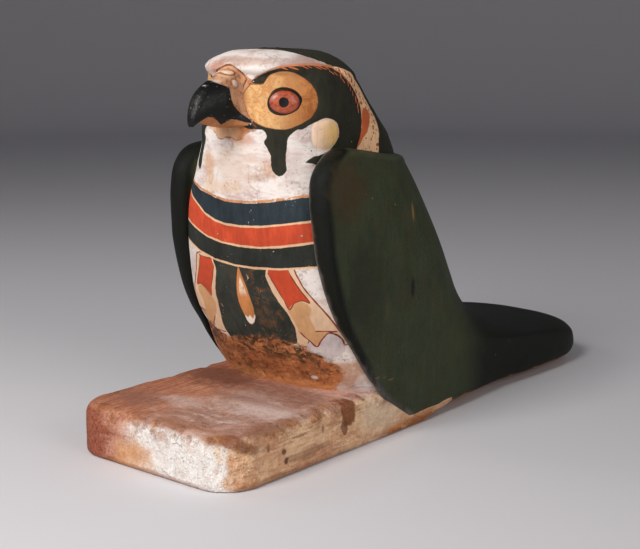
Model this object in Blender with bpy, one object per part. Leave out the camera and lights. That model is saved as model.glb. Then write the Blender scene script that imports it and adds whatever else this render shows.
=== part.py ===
"""Falcon figure squatting on its plinth, carved from one block of wood, plastered and painted.

Metres, +Z up. The bird looks along -Y and its left side is +X. The origin is the middle of
the footprint, on the surface that the plinth stands on. Run with
    blender --background --python part.py
"""
import math

import bmesh
import bpy
import numpy as np

# Driving sizes of the whole figure
FIGURE_LENGTH = 0.639
FIGURE_WIDTH = 0.204
FIGURE_HEIGHT = 0.366

# The plinth, a slab that the breast rises from
PLINTH_HEIGHT = 0.0478
PLINTH_RUN = 0.332
PLINTH_CORNER_RADIUS = 0.035
PLINTH_EDGE_RADIUS = 0.012
PLINTH_FOOT_RADIUS = 0.004
PLINTH_INSET = 0.0012
PLINTH_ARRIS_TURN = math.radians(50)

# Behind the plinth's heel the underside rises, and the tail hangs clear of the surface
TAIL_LIFT = 0.009
HEEL_RISE_RUN = 0.052
HEEL_TUCK = 0.006
HEEL_TUCK_RUN = 0.012

# The bird's lines are drawn on a grid 366 units high, 639 long and 204 wide,
# with the plinth's front 313 units ahead of the grid's zero
GRID_HEIGHT = 366.0
GRID_LENGTH = 639.0
GRID_WIDTH = 204.0
GRID_FRONT = -313.0
UNIT_X = FIGURE_WIDTH / GRID_WIDTH
UNIT_Y = FIGURE_LENGTH / GRID_LENGTH
UNIT_Z = FIGURE_HEIGHT / GRID_HEIGHT
GRID_MIDDLE = GRID_FRONT + GRID_LENGTH / 2

# Neck, head, breast and belly: height, then front line, depth of the front curve, half-width,
# fullness of the front, back line, depth of the back curve, fullness of the back
BODY_LINES = (
    (36, -132, 50, 94, 2.0, 60, 80, 2.0),
    (47, -144, 48, 97, 2.0, 60, 80, 2.0),
    (66, -154, 40, 98, 2.0, 60, 80, 2.0),
    (92, -168, 41, 96, 2.0, 60, 80, 2.0),
    (115, -176, 31, 94, 2.0, 50, 80, 2.0),
    (140, -184, 26, 90, 2.0, 40, 80, 2.0),
    (180, -194, 27, 85, 2.0, 30, 80, 2.0),
    (220, -199, 32, 81, 2.0, 10, 80, 2.0),
    (250, -201, 46, 77, 2.0, -1, 85, 2.1),
    (265, -202, 56, 74, 2.1, -3, 86, 2.2),
    (280, -202, 64, 72, 2.1, -10, 86, 2.25),
    (300, -202, 65, 72, 2.05, -28, 84, 2.2),
    (320, -202, 60, 72, 1.75, -45, 82, 2.1),
    (334, -200, 58, 71, 1.65, -57, 80, 2.1),
    (341, -199, 57, 69, 1.7, -63, 78, 2.1),
    (347, -202, 57, 64, 1.9, -69, 75, 2.1),
    (352, -199, 54, 58, 2.0, -75, 70, 2.1),
    (358, -190, 47, 50, 2.0, -84, 60, 2.0),
    (362, -180, 36, 38, 2.0, -95, 48, 2.0),
    (364.5, -164, 20, 21, 2.0, -112, 32, 2.0),
    (366, -150, 6, 6, 2.0, -138, 6, 2.0),
)

# Folded wings, back and tail: height, then half-width, crease beside the breast across and
# along, how far the rim stands forward of the crease, back line, depth and fullness of the back
CLOAK_LINES = (
    (9, 98.5, 95, -53, 0.6, 319, 106, 3.0),
    (12, 100.5, 97, -58, 0.8, 323, 110, 3.0),
    (20, 102, 98, -70, 1.0, 326, 114, 3.0),
    (30, 102, 98, -86, 1.0, 325, 115, 2.9),
    (40, 102, 98, -101, 1.0, 317, 118, 2.7),
    (50, 102, 97, -110, 1.0, 290, 122, 2.4),
    (56, 102, 97, -115, 1.0, 250, 132, 2.1),
    (63, 102, 96, -121, 1.2, 213, 132, 1.9),
    (71, 102, 95, -127, 1.3, 181, 132, 1.8),
    (81, 102, 94, -134, 1.4, 150, 126, 1.8),
    (94, 102, 92, -142, 1.6, 123, 116, 1.8),
    (115, 102, 89, -156, 2.0, 101, 112, 1.8),
    (140, 102, 85.5, -167, 2.6, 84, 106, 1.8),
    (165, 102, 82, -174, 3.4, 69, 104, 1.8),
    (190, 101.5, 79, -178, 5.0, 53, 102, 1.8),
    (220, 100.5, 76, -178, 8.0, 33, 104, 1.85),
    (240, 99.5, 74, -176, 10.0, 18, 106, 1.9),
    (255, 99, 73, -171, 11.5, 6, 106, 1.9),
    (262, 99, 73, -166, 11.5, 0, 104, 1.9),
    (268, 98.5, 73, -160, 11.0, -48, 76, 2.0),
    (272, 97, 72, -154, 10.0, -76, 58, 2.0),
    (274.5, 93, 71, -148, 8.0, -96, 40, 2.0),
    (276, 86, 69, -142, 5.0, -108, 26, 2.0),
    (276.5, 75, 67, -138, 1.0, -114, 18, 2.0),
)

# Sections of the beak from inside the face to the tip: forward line, top, bottom, half-width
BEAK_LINES = (
    (-178, 346, 292, 25),
    (-195, 344, 293, 22.5),
    (-209, 341.5, 294, 19),
    (-220, 338.5, 295.5, 15.5),
    (-230, 334, 298, 12.5),
    (-238, 328.5, 300, 9.5),
    (-244.5, 320, 300, 6.5),
    (-248.5, 309, 297.5, 3.5),
)
BEAK_TIP = (0.0, -250.5, 299.0)

# The tail narrows a little behind the heels and flares again before its end
WAIST_PLACE = 105.0
WAIST_REACH = 55.0
WAIST_DEPTH = 0.065
WAIST_TOP = 70.0

# Eyes: each ball swells a little from the side of the face
EYE_CENTRE = (48.5, -178.5, 317.5)
EYE_RADIUS = 16.8
EYE_HIGH = 0.8
EYE_THICKNESS = 0.42
EYE_TURN = math.radians(50)

# The wings' inner edge is closed inside the breast, this far behind the crease, and their
# rounded front rim is fuller on its outer side
HIDDEN_SET_BACK = 16.0
HIDDEN_HALF_SHARE = 0.7
NOSE_ROOT = 2.0
NOSE_FULLNESS = 2.8

# How finely each form is cut
BODY_COLUMNS = 56
BODY_ROWS = 42
NOSE_STEPS = 5
FLANK_STEPS = 6
BACK_STEPS = 15
CLOAK_ROWS = 38
ROW_SAMPLES = 400
ROW_CROWDING = 0.5
BEAK_COLUMNS = 16
CORNER_STEPS = 8
EDGE_STEPS = 4
FOOT_STEPS = 2
WELD_DISTANCE = 0.00005
SHARP_ANGLE = math.radians(35)


def clear_scene():
    for thing in list(bpy.data.objects):
        bpy.data.objects.remove(thing, do_unlink=True)


def new_collection(name):
    collection = bpy.data.collections.new(name)
    bpy.context.scene.collection.children.link(collection)
    return collection


def smooth_lines(lines, heights):
    """Every column of a table of lines at the heights asked for, by a monotone cubic curve."""
    table = np.array(lines, dtype=float)
    known = table[:, 0]
    span = np.diff(known)
    place = np.clip(np.searchsorted(known, heights, side="right") - 1, 0, len(known) - 2)
    share = (heights - known[place]) / span[place]
    columns = []
    for values in table[:, 1:].T:
        rise = np.diff(values) / span
        slope = np.empty(len(known))
        slope[0] = rise[0]
        slope[-1] = rise[-1]
        for i in range(1, len(known) - 1):
            if rise[i - 1] * rise[i] <= 0:
                slope[i] = 0
            else:
                before = 2 * span[i] + span[i - 1]
                after = span[i] + 2 * span[i - 1]
                slope[i] = (before + after) / (before / rise[i - 1] + after / rise[i])
        start = values[place]
        end = values[place + 1]
        lean_in = slope[place] * span[place]
        lean_out = slope[place + 1] * span[place]
        columns.append(
            start * (2 * share ** 3 - 3 * share ** 2 + 1)
            + lean_in * (share ** 3 - 2 * share ** 2 + share)
            + end * (3 * share ** 2 - 2 * share ** 3)
            + lean_out * (share ** 3 - share ** 2)
        )
    return np.array(columns).T


def even_heights(lines, rows):
    """Heights for the rows of a loft, closer together where the lines turn."""
    table = np.array(lines, dtype=float)
    fine = np.linspace(table[0, 0], table[-1, 0], ROW_SAMPLES)
    drawn = smooth_lines(lines, fine)
    turns = np.abs(np.diff(drawn[:, :4], axis=0)).max(axis=1)
    travelled = np.concatenate(([0.0], np.cumsum(np.diff(fine) + ROW_CROWDING * turns)))
    return np.interp(np.linspace(0, travelled[-1], rows), travelled, fine)


def super_arc(turn, fullness):
    """Point of a unit curve, round at fullness 2 and squarer above it."""
    side = np.abs(np.sin(turn)) ** (2 / fullness)
    ahead = np.abs(np.cos(turn)) ** (2 / fullness)
    return side, ahead


def body_ring(line):
    """Half outline of the neck or body at one height, from the front round to the back."""
    front, front_depth, half, front_fullness, back, back_depth, back_fullness = line
    steps = BODY_COLUMNS // 2
    front_steps = steps // 2
    points = []
    for turn in np.linspace(0, math.pi / 2, front_steps + 1):
        side, ahead = super_arc(turn, front_fullness)
        points.append((half * side, front + front_depth * (1 - ahead)))
    for turn in np.linspace(math.pi / 2, math.pi, steps - front_steps + 1)[1:]:
        side, ahead = super_arc(turn, back_fullness)
        points.append((half * side, back - back_depth * (1 - ahead)))
    points[0] = (0.0, front)
    points[-1] = (0.0, back)
    return points


def cloak_ring(line):
    """Half outline of the folded wings at one height, from inside the breast round to the back."""
    half, crease_x, crease_y, proud, back, back_depth, fullness = line
    hidden = crease_y + HIDDEN_SET_BACK
    points = [(0.0, hidden), (crease_x * HIDDEN_HALF_SHARE, hidden)]
    nose_x = (half + crease_x) / 2
    nose_half = (half - crease_x) / 2
    nose_y = crease_y + NOSE_ROOT
    for turn in np.linspace(math.pi, 0, NOSE_STEPS + 1):
        lift = math.sin(turn)
        if turn < math.pi / 2:
            lift = lift ** (2 / NOSE_FULLNESS)
        points.append((nose_x + nose_half * math.cos(turn), nose_y - (proud + NOSE_ROOT) * lift))
    shoulder = back - back_depth
    for share in np.linspace(0, 1, FLANK_STEPS + 1)[1:]:
        points.append((half, nose_y + (shoulder - nose_y) * share))
    for turn in np.linspace(math.pi / 2, math.pi, BACK_STEPS + 1)[1:]:
        side, ahead = super_arc(turn, fullness)
        points.append((half * side, shoulder + back_depth * ahead))
    points[-1] = (0.0, back)
    return points


def waist(x, y, z):
    """Half-width of the tail after its narrow place behind the heels."""
    if z > WAIST_TOP:
        return x
    depth = WAIST_DEPTH * math.exp(-(((y - WAIST_PLACE) / WAIST_REACH) ** 2))
    return x * (1 - depth * (1 - z / WAIST_TOP))


def to_metres(x, y, z):
    return (x * UNIT_X, (y - GRID_MIDDLE) * UNIT_Y, z * UNIT_Z)


def loft(name, rings, collection):
    """Closed solid through rings of equally many points, with flat ends."""
    mesh = bpy.data.meshes.new(name)
    shape = bmesh.new()
    rows = [[shape.verts.new(point) for point in ring] for ring in rings]
    count = len(rows[0])
    for below, above in zip(rows[:-1], rows[1:]):
        for i in range(count):
            after = (i + 1) % count
            shape.faces.new((below[i], below[after], above[after], above[i]))
    shape.faces.new(list(reversed(rows[0])))
    shape.faces.new(rows[-1])
    bmesh.ops.recalc_face_normals(shape, faces=shape.faces)
    shape.to_mesh(mesh)
    shape.free()
    made = bpy.data.objects.new(name, mesh)
    collection.objects.link(made)
    return made


def mirrored_loft(name, lines, rows, half_ring, shape_x, collection):
    heights = even_heights(lines, rows)
    rings = []
    for height, line in zip(heights, smooth_lines(lines, heights)):
        half = half_ring(line)
        left = [to_metres(shape_x(x, y, height), y, height) for x, y in half]
        right = [(-x, y, z) for x, y, z in reversed(left[1:-1])]
        rings.append(left + right)
    return loft(name, rings, collection)


def make_body(collection):
    return mirrored_loft("body", BODY_LINES, BODY_ROWS, body_ring, lambda x, y, z: x, collection)


def make_cloak(collection):
    return mirrored_loft("cloak", CLOAK_LINES, CLOAK_ROWS, cloak_ring, waist, collection)


def make_beak(collection):
    rings = []
    for place, top, bottom, half in BEAK_LINES:
        middle = (top + bottom) / 2
        rise = (top - bottom) / 2
        ring = []
        for turn in np.linspace(0, 2 * math.pi, BEAK_COLUMNS, endpoint=False):
            ring.append(to_metres(half * math.sin(turn), place, middle + rise * math.cos(turn)))
        rings.append(ring)
    beak = loft("beak", rings, collection)
    shape = bmesh.new()
    shape.from_mesh(beak.data)
    end = min(shape.faces, key=lambda face: face.calc_center_median().y)
    tip = bmesh.ops.poke(shape, faces=[end])["verts"][0]
    tip.co = to_metres(*BEAK_TIP)
    shape.to_mesh(beak.data)
    shape.free()
    return beak


def make_plinth(collection):
    """Slab with rounded corners in plan, softened edges and a heel that rises to the tail."""
    half = FIGURE_WIDTH / 2 - PLINTH_INSET
    front = (GRID_FRONT - GRID_MIDDLE) * UNIT_Y
    back = front + PLINTH_RUN
    rise = back - HEEL_RISE_RUN
    shape = bmesh.new()
    bmesh.ops.create_cube(shape, size=1.0)
    for vert in shape.verts:
        vert.co.x *= 2 * half
        vert.co.y = front if vert.co.y < 0 else back
        vert.co.z = 0.0 if vert.co.z < 0 else PLINTH_HEIGHT
    for cut in (rise, back - HEEL_TUCK_RUN):
        everything = shape.verts[:] + shape.edges[:] + shape.faces[:]
        bmesh.ops.bisect_plane(shape, geom=everything, plane_co=(0, cut, 0), plane_no=(0, 1, 0))
    for vert in shape.verts:
        if vert.co.y > rise and vert.co.z < PLINTH_HEIGHT / 2:
            vert.co.z = TAIL_LIFT * (vert.co.y - rise) / HEEL_RISE_RUN
        if vert.co.y > back - HEEL_TUCK_RUN / 2:
            vert.co.x -= math.copysign(HEEL_TUCK, vert.co.x)
    corners = [edge for edge in shape.edges
               if abs(edge.verts[0].co.z - edge.verts[1].co.z) > PLINTH_HEIGHT / 2
               and max(vert.co.y for vert in edge.verts) < front + PLINTH_INSET]
    bmesh.ops.bevel(shape, geom=corners, offset=PLINTH_CORNER_RADIUS, segments=CORNER_STEPS,
                    affect="EDGES", profile=0.5)
    for radius, steps, above in ((PLINTH_EDGE_RADIUS, EDGE_STEPS, True),
                                 (PLINTH_FOOT_RADIUS, FOOT_STEPS, False)):
        edges = [edge for edge in shape.edges
                 if all((vert.co.z > PLINTH_HEIGHT / 2) == above for vert in edge.verts)
                 and min(vert.co.y for vert in edge.verts) < back - HEEL_TUCK_RUN / 2
                 and edge.calc_face_angle() > PLINTH_ARRIS_TURN]
        bmesh.ops.bevel(shape, geom=edges, offset=radius, segments=steps,
                        affect="EDGES", profile=0.5)
    mesh = bpy.data.meshes.new("plinth")
    shape.to_mesh(mesh)
    shape.free()
    plinth = bpy.data.objects.new("plinth", mesh)
    collection.objects.link(plinth)
    return plinth


def make_eye(side, collection):
    """Flattened ball set into one side of the face."""
    bpy.ops.mesh.primitive_uv_sphere_add(segments=20, ring_count=10, radius=1.0)
    ball = bpy.context.active_object
    ball.name = "left_eye" if side > 0 else "right_eye"
    long = EYE_RADIUS * UNIT_Y
    ball.scale = (long, long * EYE_THICKNESS, EYE_RADIUS * UNIT_Z * EYE_HIGH)
    ball.rotation_euler = (0, 0, side * EYE_TURN)
    x, y, z = to_metres(*EYE_CENTRE)
    ball.location = (side * x, y, z)
    bpy.ops.object.transform_apply(location=True, rotation=True, scale=True)
    for owner in list(ball.users_collection):
        owner.objects.unlink(ball)
    collection.objects.link(ball)
    return ball


def join_solid(target, tool):
    join = target.modifiers.new("with_" + tool.name, "BOOLEAN")
    join.operation = "UNION"
    join.solver = "EXACT"
    join.object = tool


def bake_modifiers(thing):
    """Turn an object's modifiers into its own mesh."""
    graph = bpy.context.evaluated_depsgraph_get()
    done = bpy.data.meshes.new_from_object(thing.evaluated_get(graph))
    thing.modifiers.clear()
    thing.data = done
    thing.data.name = thing.name


def gesso_material():
    material = bpy.data.materials.new("painted_gesso_on_wood")
    material.use_nodes = True
    shader = material.node_tree.nodes["Principled BSDF"]
    shader.inputs["Base Color"].default_value = (0.045, 0.042, 0.026, 1.0)
    shader.inputs["Roughness"].default_value = 0.68
    shader.inputs["Metallic"].default_value = 0.0
    material.diffuse_color = (0.25, 0.23, 0.18, 1.0)
    return material


def make_figure(parts, cutters):
    figure = make_body(parts)
    figure.name = "falcon_on_plinth"
    figure.data.name = "falcon_on_plinth"
    tools = [make_cloak(cutters), make_plinth(cutters), make_beak(cutters)]
    tools += [make_eye(side, cutters) for side in (-1, 1)]
    for tool in tools:
        join_solid(figure, tool)
    bake_modifiers(figure)
    for tool in list(cutters.objects):
        bpy.data.objects.remove(tool, do_unlink=True)
    shape = bmesh.new()
    shape.from_mesh(figure.data)
    bmesh.ops.remove_doubles(shape, verts=shape.verts, dist=WELD_DISTANCE)
    bmesh.ops.dissolve_degenerate(shape, dist=WELD_DISTANCE, edges=shape.edges)
    bmesh.ops.triangulate(shape, faces=[f for f in shape.faces if len(f.verts) > 4])
    shape.to_mesh(figure.data)
    shape.free()
    figure.data.materials.clear()
    figure.data.materials.append(gesso_material())
    figure.data.shade_smooth()
    figure.data.set_sharp_from_angle(angle=SHARP_ANGLE)
    return figure


clear_scene()
parts = new_collection("falcon_figure")
cutters = new_collection("forms_and_cutters")
make_figure(parts, cutters)
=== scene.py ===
import math

import bmesh
import bpy
import numpy as np
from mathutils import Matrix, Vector, noise


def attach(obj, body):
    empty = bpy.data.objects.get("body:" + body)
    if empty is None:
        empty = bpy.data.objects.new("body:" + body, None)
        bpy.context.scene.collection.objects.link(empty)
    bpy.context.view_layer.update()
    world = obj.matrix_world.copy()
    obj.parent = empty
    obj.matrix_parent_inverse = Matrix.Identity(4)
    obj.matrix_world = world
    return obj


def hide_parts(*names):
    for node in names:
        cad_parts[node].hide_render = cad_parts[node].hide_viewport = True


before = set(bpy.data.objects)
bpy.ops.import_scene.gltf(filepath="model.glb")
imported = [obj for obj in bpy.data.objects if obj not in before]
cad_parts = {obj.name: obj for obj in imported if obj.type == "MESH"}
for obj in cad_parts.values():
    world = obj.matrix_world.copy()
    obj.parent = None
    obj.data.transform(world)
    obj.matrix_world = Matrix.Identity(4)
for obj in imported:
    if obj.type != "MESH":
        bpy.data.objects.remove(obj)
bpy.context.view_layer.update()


# The plinth: a low slab left in one with the bird, coated with white gesso, now stained, rubbed
# through to the wood at its arrises and thickly crusted at the near front corner. Lengths in the
# forms are in millimetres; y is counted from the carver's own zero line.
ZERO_LINE = 6.5
PLINTH_HALF = 100.6
PLINTH_FRONT = -312.0
PLINTH_BACK = 19.0
PLINTH_TOP = 47.8
PLINTH_CORNER = 35.0
PLINTH_ARRIS = 12.0
PLINTH_FOOT = 4.0
HEEL_RUN = 52.0
TAIL_LIFT = 9.0
PLINTH_GRAIN = 2.1
ARRIS_REACH = (6.0, 22.0)
ARRIS_WEAR = 1.5
CRUST_PLACE = (84.0, -306.0)
CRUST_REACH = (18.0, 50.0)
CRUST_ROUGHNESS = 0.6
CRUST_THICKNESS = 0.5
CRUST_ON_FRONT = 0.45


def metres(points):
    """Points in millimetres from the zero line, as places in metres round the frame's middle."""
    return (np.asarray(points, float) - (0, ZERO_LINE, 0)) / 1000


def millimetres(thing):
    """Every vertex of a piece, in millimetres from the zero line."""
    places = np.empty(len(thing.data.vertices) * 3)
    thing.data.vertices.foreach_get("co", places)
    return places.reshape(-1, 3) * 1000 + (0, ZERO_LINE, 0)


def normals(thing):
    """The outward direction at every vertex of a piece."""
    found = np.empty(len(thing.data.vertices) * 3)
    thing.data.vertices.foreach_get("normal", found)
    return found.reshape(-1, 3)


def raise_surface(thing, heights):
    """Lift every vertex along its normal by its own height in millimetres."""
    places = millimetres(thing) + normals(thing) * np.asarray(heights)[:, None]
    thing.data.vertices.foreach_set("co", metres(places).ravel())
    thing.data.update()


def rough(points, size, seed):
    """Smooth chance values from about -1 to 1, with lumps of the size given in millimetres."""
    shift = Vector((seed * 17.3, seed * 5.1, seed * 9.7))
    return np.array([noise.noise(Vector(point) / size + shift) for point in points])


def ease(values, low, high):
    """Smooth rise from 0 at low to 1 at high."""
    share = np.clip((np.asarray(values) - low) / (high - low), 0, 1)
    return share * share * (3 - 2 * share)


def keep(thing, **numbers):
    """Store numbers for every vertex, by name, for the material to read."""
    for name, values in numbers.items():
        thing.data.attributes.new(name, "FLOAT", "POINT").data.foreach_set(
            "value", np.asarray(values, np.float32))


def finish_piece(thing, *materials):
    """Materials and smooth shading for a piece, then the frame's word on what it is."""
    for material in materials:
        thing.data.materials.append(material)
    thing.data.shade_smooth()
    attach(thing, "root")
    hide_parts("falcon_on_plinth")


def put(name, data):
    """A new object in the scene, holding a mesh, lamp or camera."""
    thing = bpy.data.objects.new(name, data)
    bpy.context.scene.collection.objects.link(thing)
    return thing


def set_modifiers(thing):
    """Turn a piece's modifiers into its own mesh."""
    graph = bpy.context.evaluated_depsgraph_get()
    done = bpy.data.meshes.new_from_object(thing.evaluated_get(graph))
    thing.modifiers.clear()
    thing.data = done
    thing.data.name = thing.name
    return thing


def carve_plinth():
    """Slab with a lifted heel, rounded front corners and arrises, remeshed into an even skin."""
    shape = bmesh.new()
    bmesh.ops.create_cube(shape, size=1.0)
    rise = PLINTH_BACK - HEEL_RUN
    for vert in shape.verts:
        vert.co.x *= 2 * PLINTH_HALF
        vert.co.y = PLINTH_FRONT if vert.co.y < 0 else PLINTH_BACK
        vert.co.z = 0.0 if vert.co.z < 0 else PLINTH_TOP
    everything = shape.verts[:] + shape.edges[:] + shape.faces[:]
    bmesh.ops.bisect_plane(shape, geom=everything, plane_co=(0, rise, 0), plane_no=(0, 1, 0))
    for vert in shape.verts:
        if vert.co.y > rise + 1 and vert.co.z < PLINTH_TOP / 2:
            vert.co.z = TAIL_LIFT
    corners = [edge for edge in shape.edges
               if abs(edge.verts[0].co.z - edge.verts[1].co.z) > PLINTH_TOP / 2
               and max(vert.co.y for vert in edge.verts) < PLINTH_FRONT + 1]
    bmesh.ops.bevel(shape, geom=corners, offset=PLINTH_CORNER, segments=24,
                    affect="EDGES", profile=0.5)
    for radius, above in ((PLINTH_ARRIS, True), (PLINTH_FOOT, False)):
        edges = [edge for edge in shape.edges
                 if all((vert.co.z > PLINTH_TOP / 2) == above for vert in edge.verts)
                 and edge.calc_face_angle() > math.radians(50)
                 and min(vert.co.y for vert in edge.verts) < PLINTH_BACK - 1]
        bmesh.ops.bevel(shape, geom=edges, offset=radius, segments=8,
                        affect="EDGES", profile=0.5)
    for vert in shape.verts:
        vert.co = metres(vert.co)
    mesh = bpy.data.meshes.new("plinth")
    shape.to_mesh(mesh)
    shape.free()
    slab = put("plinth", mesh)
    remesh = slab.modifiers.new("even_skin", "REMESH")
    remesh.mode = "VOXEL"
    remesh.voxel_size = PLINTH_GRAIN / 1000
    return set_modifiers(slab)


plinth = carve_plinth()
places = millimetres(plinth)
to_side = PLINTH_HALF - np.abs(places[:, 0])
to_front = places[:, 1] - PLINTH_FRONT
to_top = PLINTH_TOP - places[:, 2]
nearest = np.sort(np.stack([to_side, to_front, to_top]), axis=0)
arris = 1 - ease(nearest[0] + nearest[1], *ARRIS_REACH)
from_crust = np.hypot(places[:, 0] - CRUST_PLACE[0], places[:, 1] - CRUST_PLACE[1])
crust = 1 - ease(from_crust, *CRUST_REACH)
relief = 0.7 * rough(places, 46, 1) + 0.4 * rough(places, 15, 2)
relief += (0.25 + CRUST_ROUGHNESS * crust) * rough(places, 5.5, 3) - 0.25
relief -= ARRIS_WEAR * arris * ease(rough(places, 21, 4), 0.05, 0.6)
relief += CRUST_THICKNESS * crust * ease(rough(places, 9, 5), -0.1, 0.5)
relief *= ease(places[:, 2], 0.5, 6)
raise_surface(plinth, relief)
facing = normals(plinth)
on_front = ease(-facing[:, 1], 0.5, 0.9) * ease(places[:, 0], -20, 30)
crusted = np.maximum(crust, CRUST_ON_FRONT * on_front) * ease(facing[:, 2], -0.4, -0.1)
low_foot = 1 - ease(places[:, 2], 5, 12)
keep(plinth, arris=arris, across=places[:, 0],
     level=ease(facing[:, 2], 0.45, 0.9), near_side=ease(facing[:, 0], 0.45, 0.85),
     crusted=crusted * (1 - ease(places[:, 2], 40, 46)),
     bared=low_foot * ease(places[:, 1], -118, -84) * ease(places[:, 0], 60, 90))


def paint(red, green, blue):
    """Colour given as it looks on a screen, as the linear colour that a shader takes."""
    shares = [value / 255 for value in (red, green, blue)]
    linear = [s / 12.92 if s <= 0.04045 else ((s + 0.055) / 1.055) ** 2.4 for s in shares]
    return (*linear, 1.0)


class Bench:
    """The node tree in hand: every node made goes into it."""
    tree = None


def link(source, target):
    Bench.tree.links.new(source, target)


def feed(socket, value):
    """Link another node's output to a socket, or set the socket's own value."""
    if isinstance(value, bpy.types.NodeSocket):
        link(value, socket)
    else:
        socket.default_value = value


def add(kind, inputs=None, **settings):
    """A node with its settings, and its inputs set or linked by name or number."""
    made = Bench.tree.nodes.new(kind if "Node" in kind else "ShaderNode" + kind)
    for name, value in settings.items():
        setattr(made, name, value)
    for name, value in (inputs or {}).items():
        feed(made.inputs[name], value)
    return made


def maths(operation, *values):
    return add("Math", dict(enumerate(values)), operation=operation).outputs[0]


def times(*values):
    """Everything multiplied, as for masks that must all hold."""
    total = values[0]
    for value in values[1:]:
        total = maths("MULTIPLY", total, value)
    return total


def plus(first, second):
    return maths("ADD", first, second)


def minus(first, second):
    return maths("SUBTRACT", first, second)


def scaled(value, factor, base):
    """A value times a factor, on top of a base."""
    return maths("MULTIPLY_ADD", value, factor, base)


def average(first, second, share):
    """Weighted mean of two values; share is the weight of the first."""
    return plus(times(first, share), times(second, 1 - share))


def between(value, low, high, start=0.0, end=1.0):
    """Soft step: start below low and end above high."""
    return add("MapRange", {"Value": value, "From Min": low, "From Max": high, "To Min": start,
                            "To Max": end}, interpolation_type="SMOOTHSTEP").outputs["Result"]


def blend(share, under, over, mode="MIX"):
    """One colour over another, by the share given."""
    return add("Mix", {0: share, 6: under, 7: over}, data_type="RGBA", blend_type=mode).outputs[2]


def object_place():
    """X, Y and Z of the Object coordinates, in metres."""
    return add("SeparateXYZ", {0: add("TexCoord").outputs["Object"]}).outputs


def cloud(size, detail=4.0, roughness=0.55, stretch=(1, 1, 1), seed=0.0, lean=0.0):
    """Noise on Object coordinates whose lumps have the size given in millimetres."""
    place = add("TexCoord").outputs["Object"]
    moved = add("Mapping", {"Vector": place, "Location": (seed, seed * 0.7, -seed),
                            "Scale": [1000 / size / s for s in stretch]})
    return add("TexNoise", {"Vector": moved.outputs[0], "Scale": 1.0, "Detail": detail,
                            "Roughness": roughness, "Distortion": lean}).outputs["Fac"]


def specks(scale, rarity, inner, outer, soft=0.01):
    """Round spots in chance places: how rare they are, and where each fades from its middle."""
    cells = add("TexVoronoi", {"Vector": add("TexCoord").outputs["Object"],
                               "Scale": scale}).outputs
    chance = add("SeparateColor", {0: cells["Color"]}).outputs[0]
    return times(between(chance, rarity, rarity + soft),
                 between(cells["Distance"], inner, outer, 1.0, 0.0))


def new_group(name, inputs, outputs):
    """An empty shader group with named sockets: a starting value gives each input its kind."""
    Bench.tree = tree = bpy.data.node_groups.new(name, "ShaderNodeTree")
    kinds = {float: "NodeSocketFloat", tuple: "NodeSocketColor"}
    for label, start in inputs.items():
        socket = tree.interface.new_socket(label, in_out="INPUT", socket_type=kinds[type(start)])
        socket.default_value = start
    for label, kind in outputs.items():
        tree.interface.new_socket(label, in_out="OUTPUT", socket_type=kinds[kind])
    return tree, tree.nodes.new("NodeGroupInput").outputs, tree.nodes.new("NodeGroupOutput").inputs


def use(group, **inputs):
    """A group placed in a material, with its own values; underscores stand for spaces."""
    made = add("Group", node_tree=group)
    for name, value in inputs.items():
        feed(made.inputs[name.replace("_", " ")], value)
    return made.outputs


def number(name):
    """A number that was kept with the mesh."""
    return add("Attribute", attribute_name=name).outputs["Fac"]


def new_material(name, gloss=0.25):
    """A new material, laid on the bench, and the inputs of its Principled shader."""
    material = bpy.data.materials.new(name)
    material.use_nodes = True
    Bench.tree = material.node_tree
    shader = Bench.tree.nodes["Principled BSDF"].inputs
    shader["Specular IOR Level"].default_value = gloss
    return material, shader


def bump(height, strength, millimetre=0.001):
    return add("Bump", {"Height": height, "Strength": strength, "Distance": millimetre}).outputs[0]


def make_gesso_group():
    """Aged white gesso: brushed tone, rosy grey bloom, tan stains, pin holes and hair cracks."""
    tree, take, give = new_group(
        "gesso", {"White": paint(244, 234, 224), "Stain": paint(204, 152, 112), "Bloom": 0.5,
                  "Staining": 0.5, "Grime": 0.3},
        {"Colour": tuple, "Roughness": float, "Height": float})
    broad = cloud(62, 5, 0.6)
    patches = cloud(20, 6, 0.62, seed=3.0, lean=0.7)
    fine = cloud(2.6, 4, 0.6, seed=5.0)
    brushed = cloud(6, 5, 0.6, stretch=(3, 3, 1), seed=17.0, lean=0.5)
    rosy = average(brushed, cloud(30, 4, 0.55, seed=8.0), 0.6)
    rosy = times(between(rosy, 0.44, 0.66), take["Bloom"])
    colour = blend(rosy, take["White"], paint(198, 168, 162))
    limit = minus(0.72, times(take["Staining"], 0.3))
    stained = between(minus(average(broad, patches, 0.4), limit), -0.06, 0.13)
    colour = blend(times(stained, 0.85), colour, take["Stain"])
    dirt = times(between(times(patches, fine), 0.27, 0.40), take["Grime"])
    colour = blend(dirt, colour, paint(112, 80, 60))
    holes = maths("MAXIMUM", specks(150.0, 0.86, 0.09, 0.13), specks(330.0, 0.90, 0.13, 0.17))
    colour = blend(times(holes, 0.7), colour, paint(84, 56, 42))
    place = add("TexCoord").outputs["Object"]
    bend = add("TexNoise", {"Vector": place, "Scale": 60.0, "Detail": 3.0})
    web = add("Mix", {0: 0.012, 4: place, 5: bend.outputs["Color"]}, data_type="VECTOR").outputs[1]
    cracks = add("TexVoronoi", {"Vector": web, "Scale": 44.0},
                 feature="DISTANCE_TO_EDGE").outputs["Distance"]
    open_here = between(cloud(34, 2, 0.5, seed=11.0), 0.56, 0.68)
    hair = times(between(cracks, 0.004, 0.022, 1.0, 0.0), open_here)
    colour = blend(times(hair, 0.45), colour, paint(140, 100, 76))
    height = scaled(fine, 0.25, times(patches, 0.5))
    height = scaled(brushed, 0.35, height)
    height = minus(minus(height, times(holes, 0.6)), times(hair, 0.35))
    link(colour, give["Colour"])
    link(height, give["Height"])
    link(scaled(fine, 0.3, 0.62), give["Roughness"])
    return tree


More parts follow.
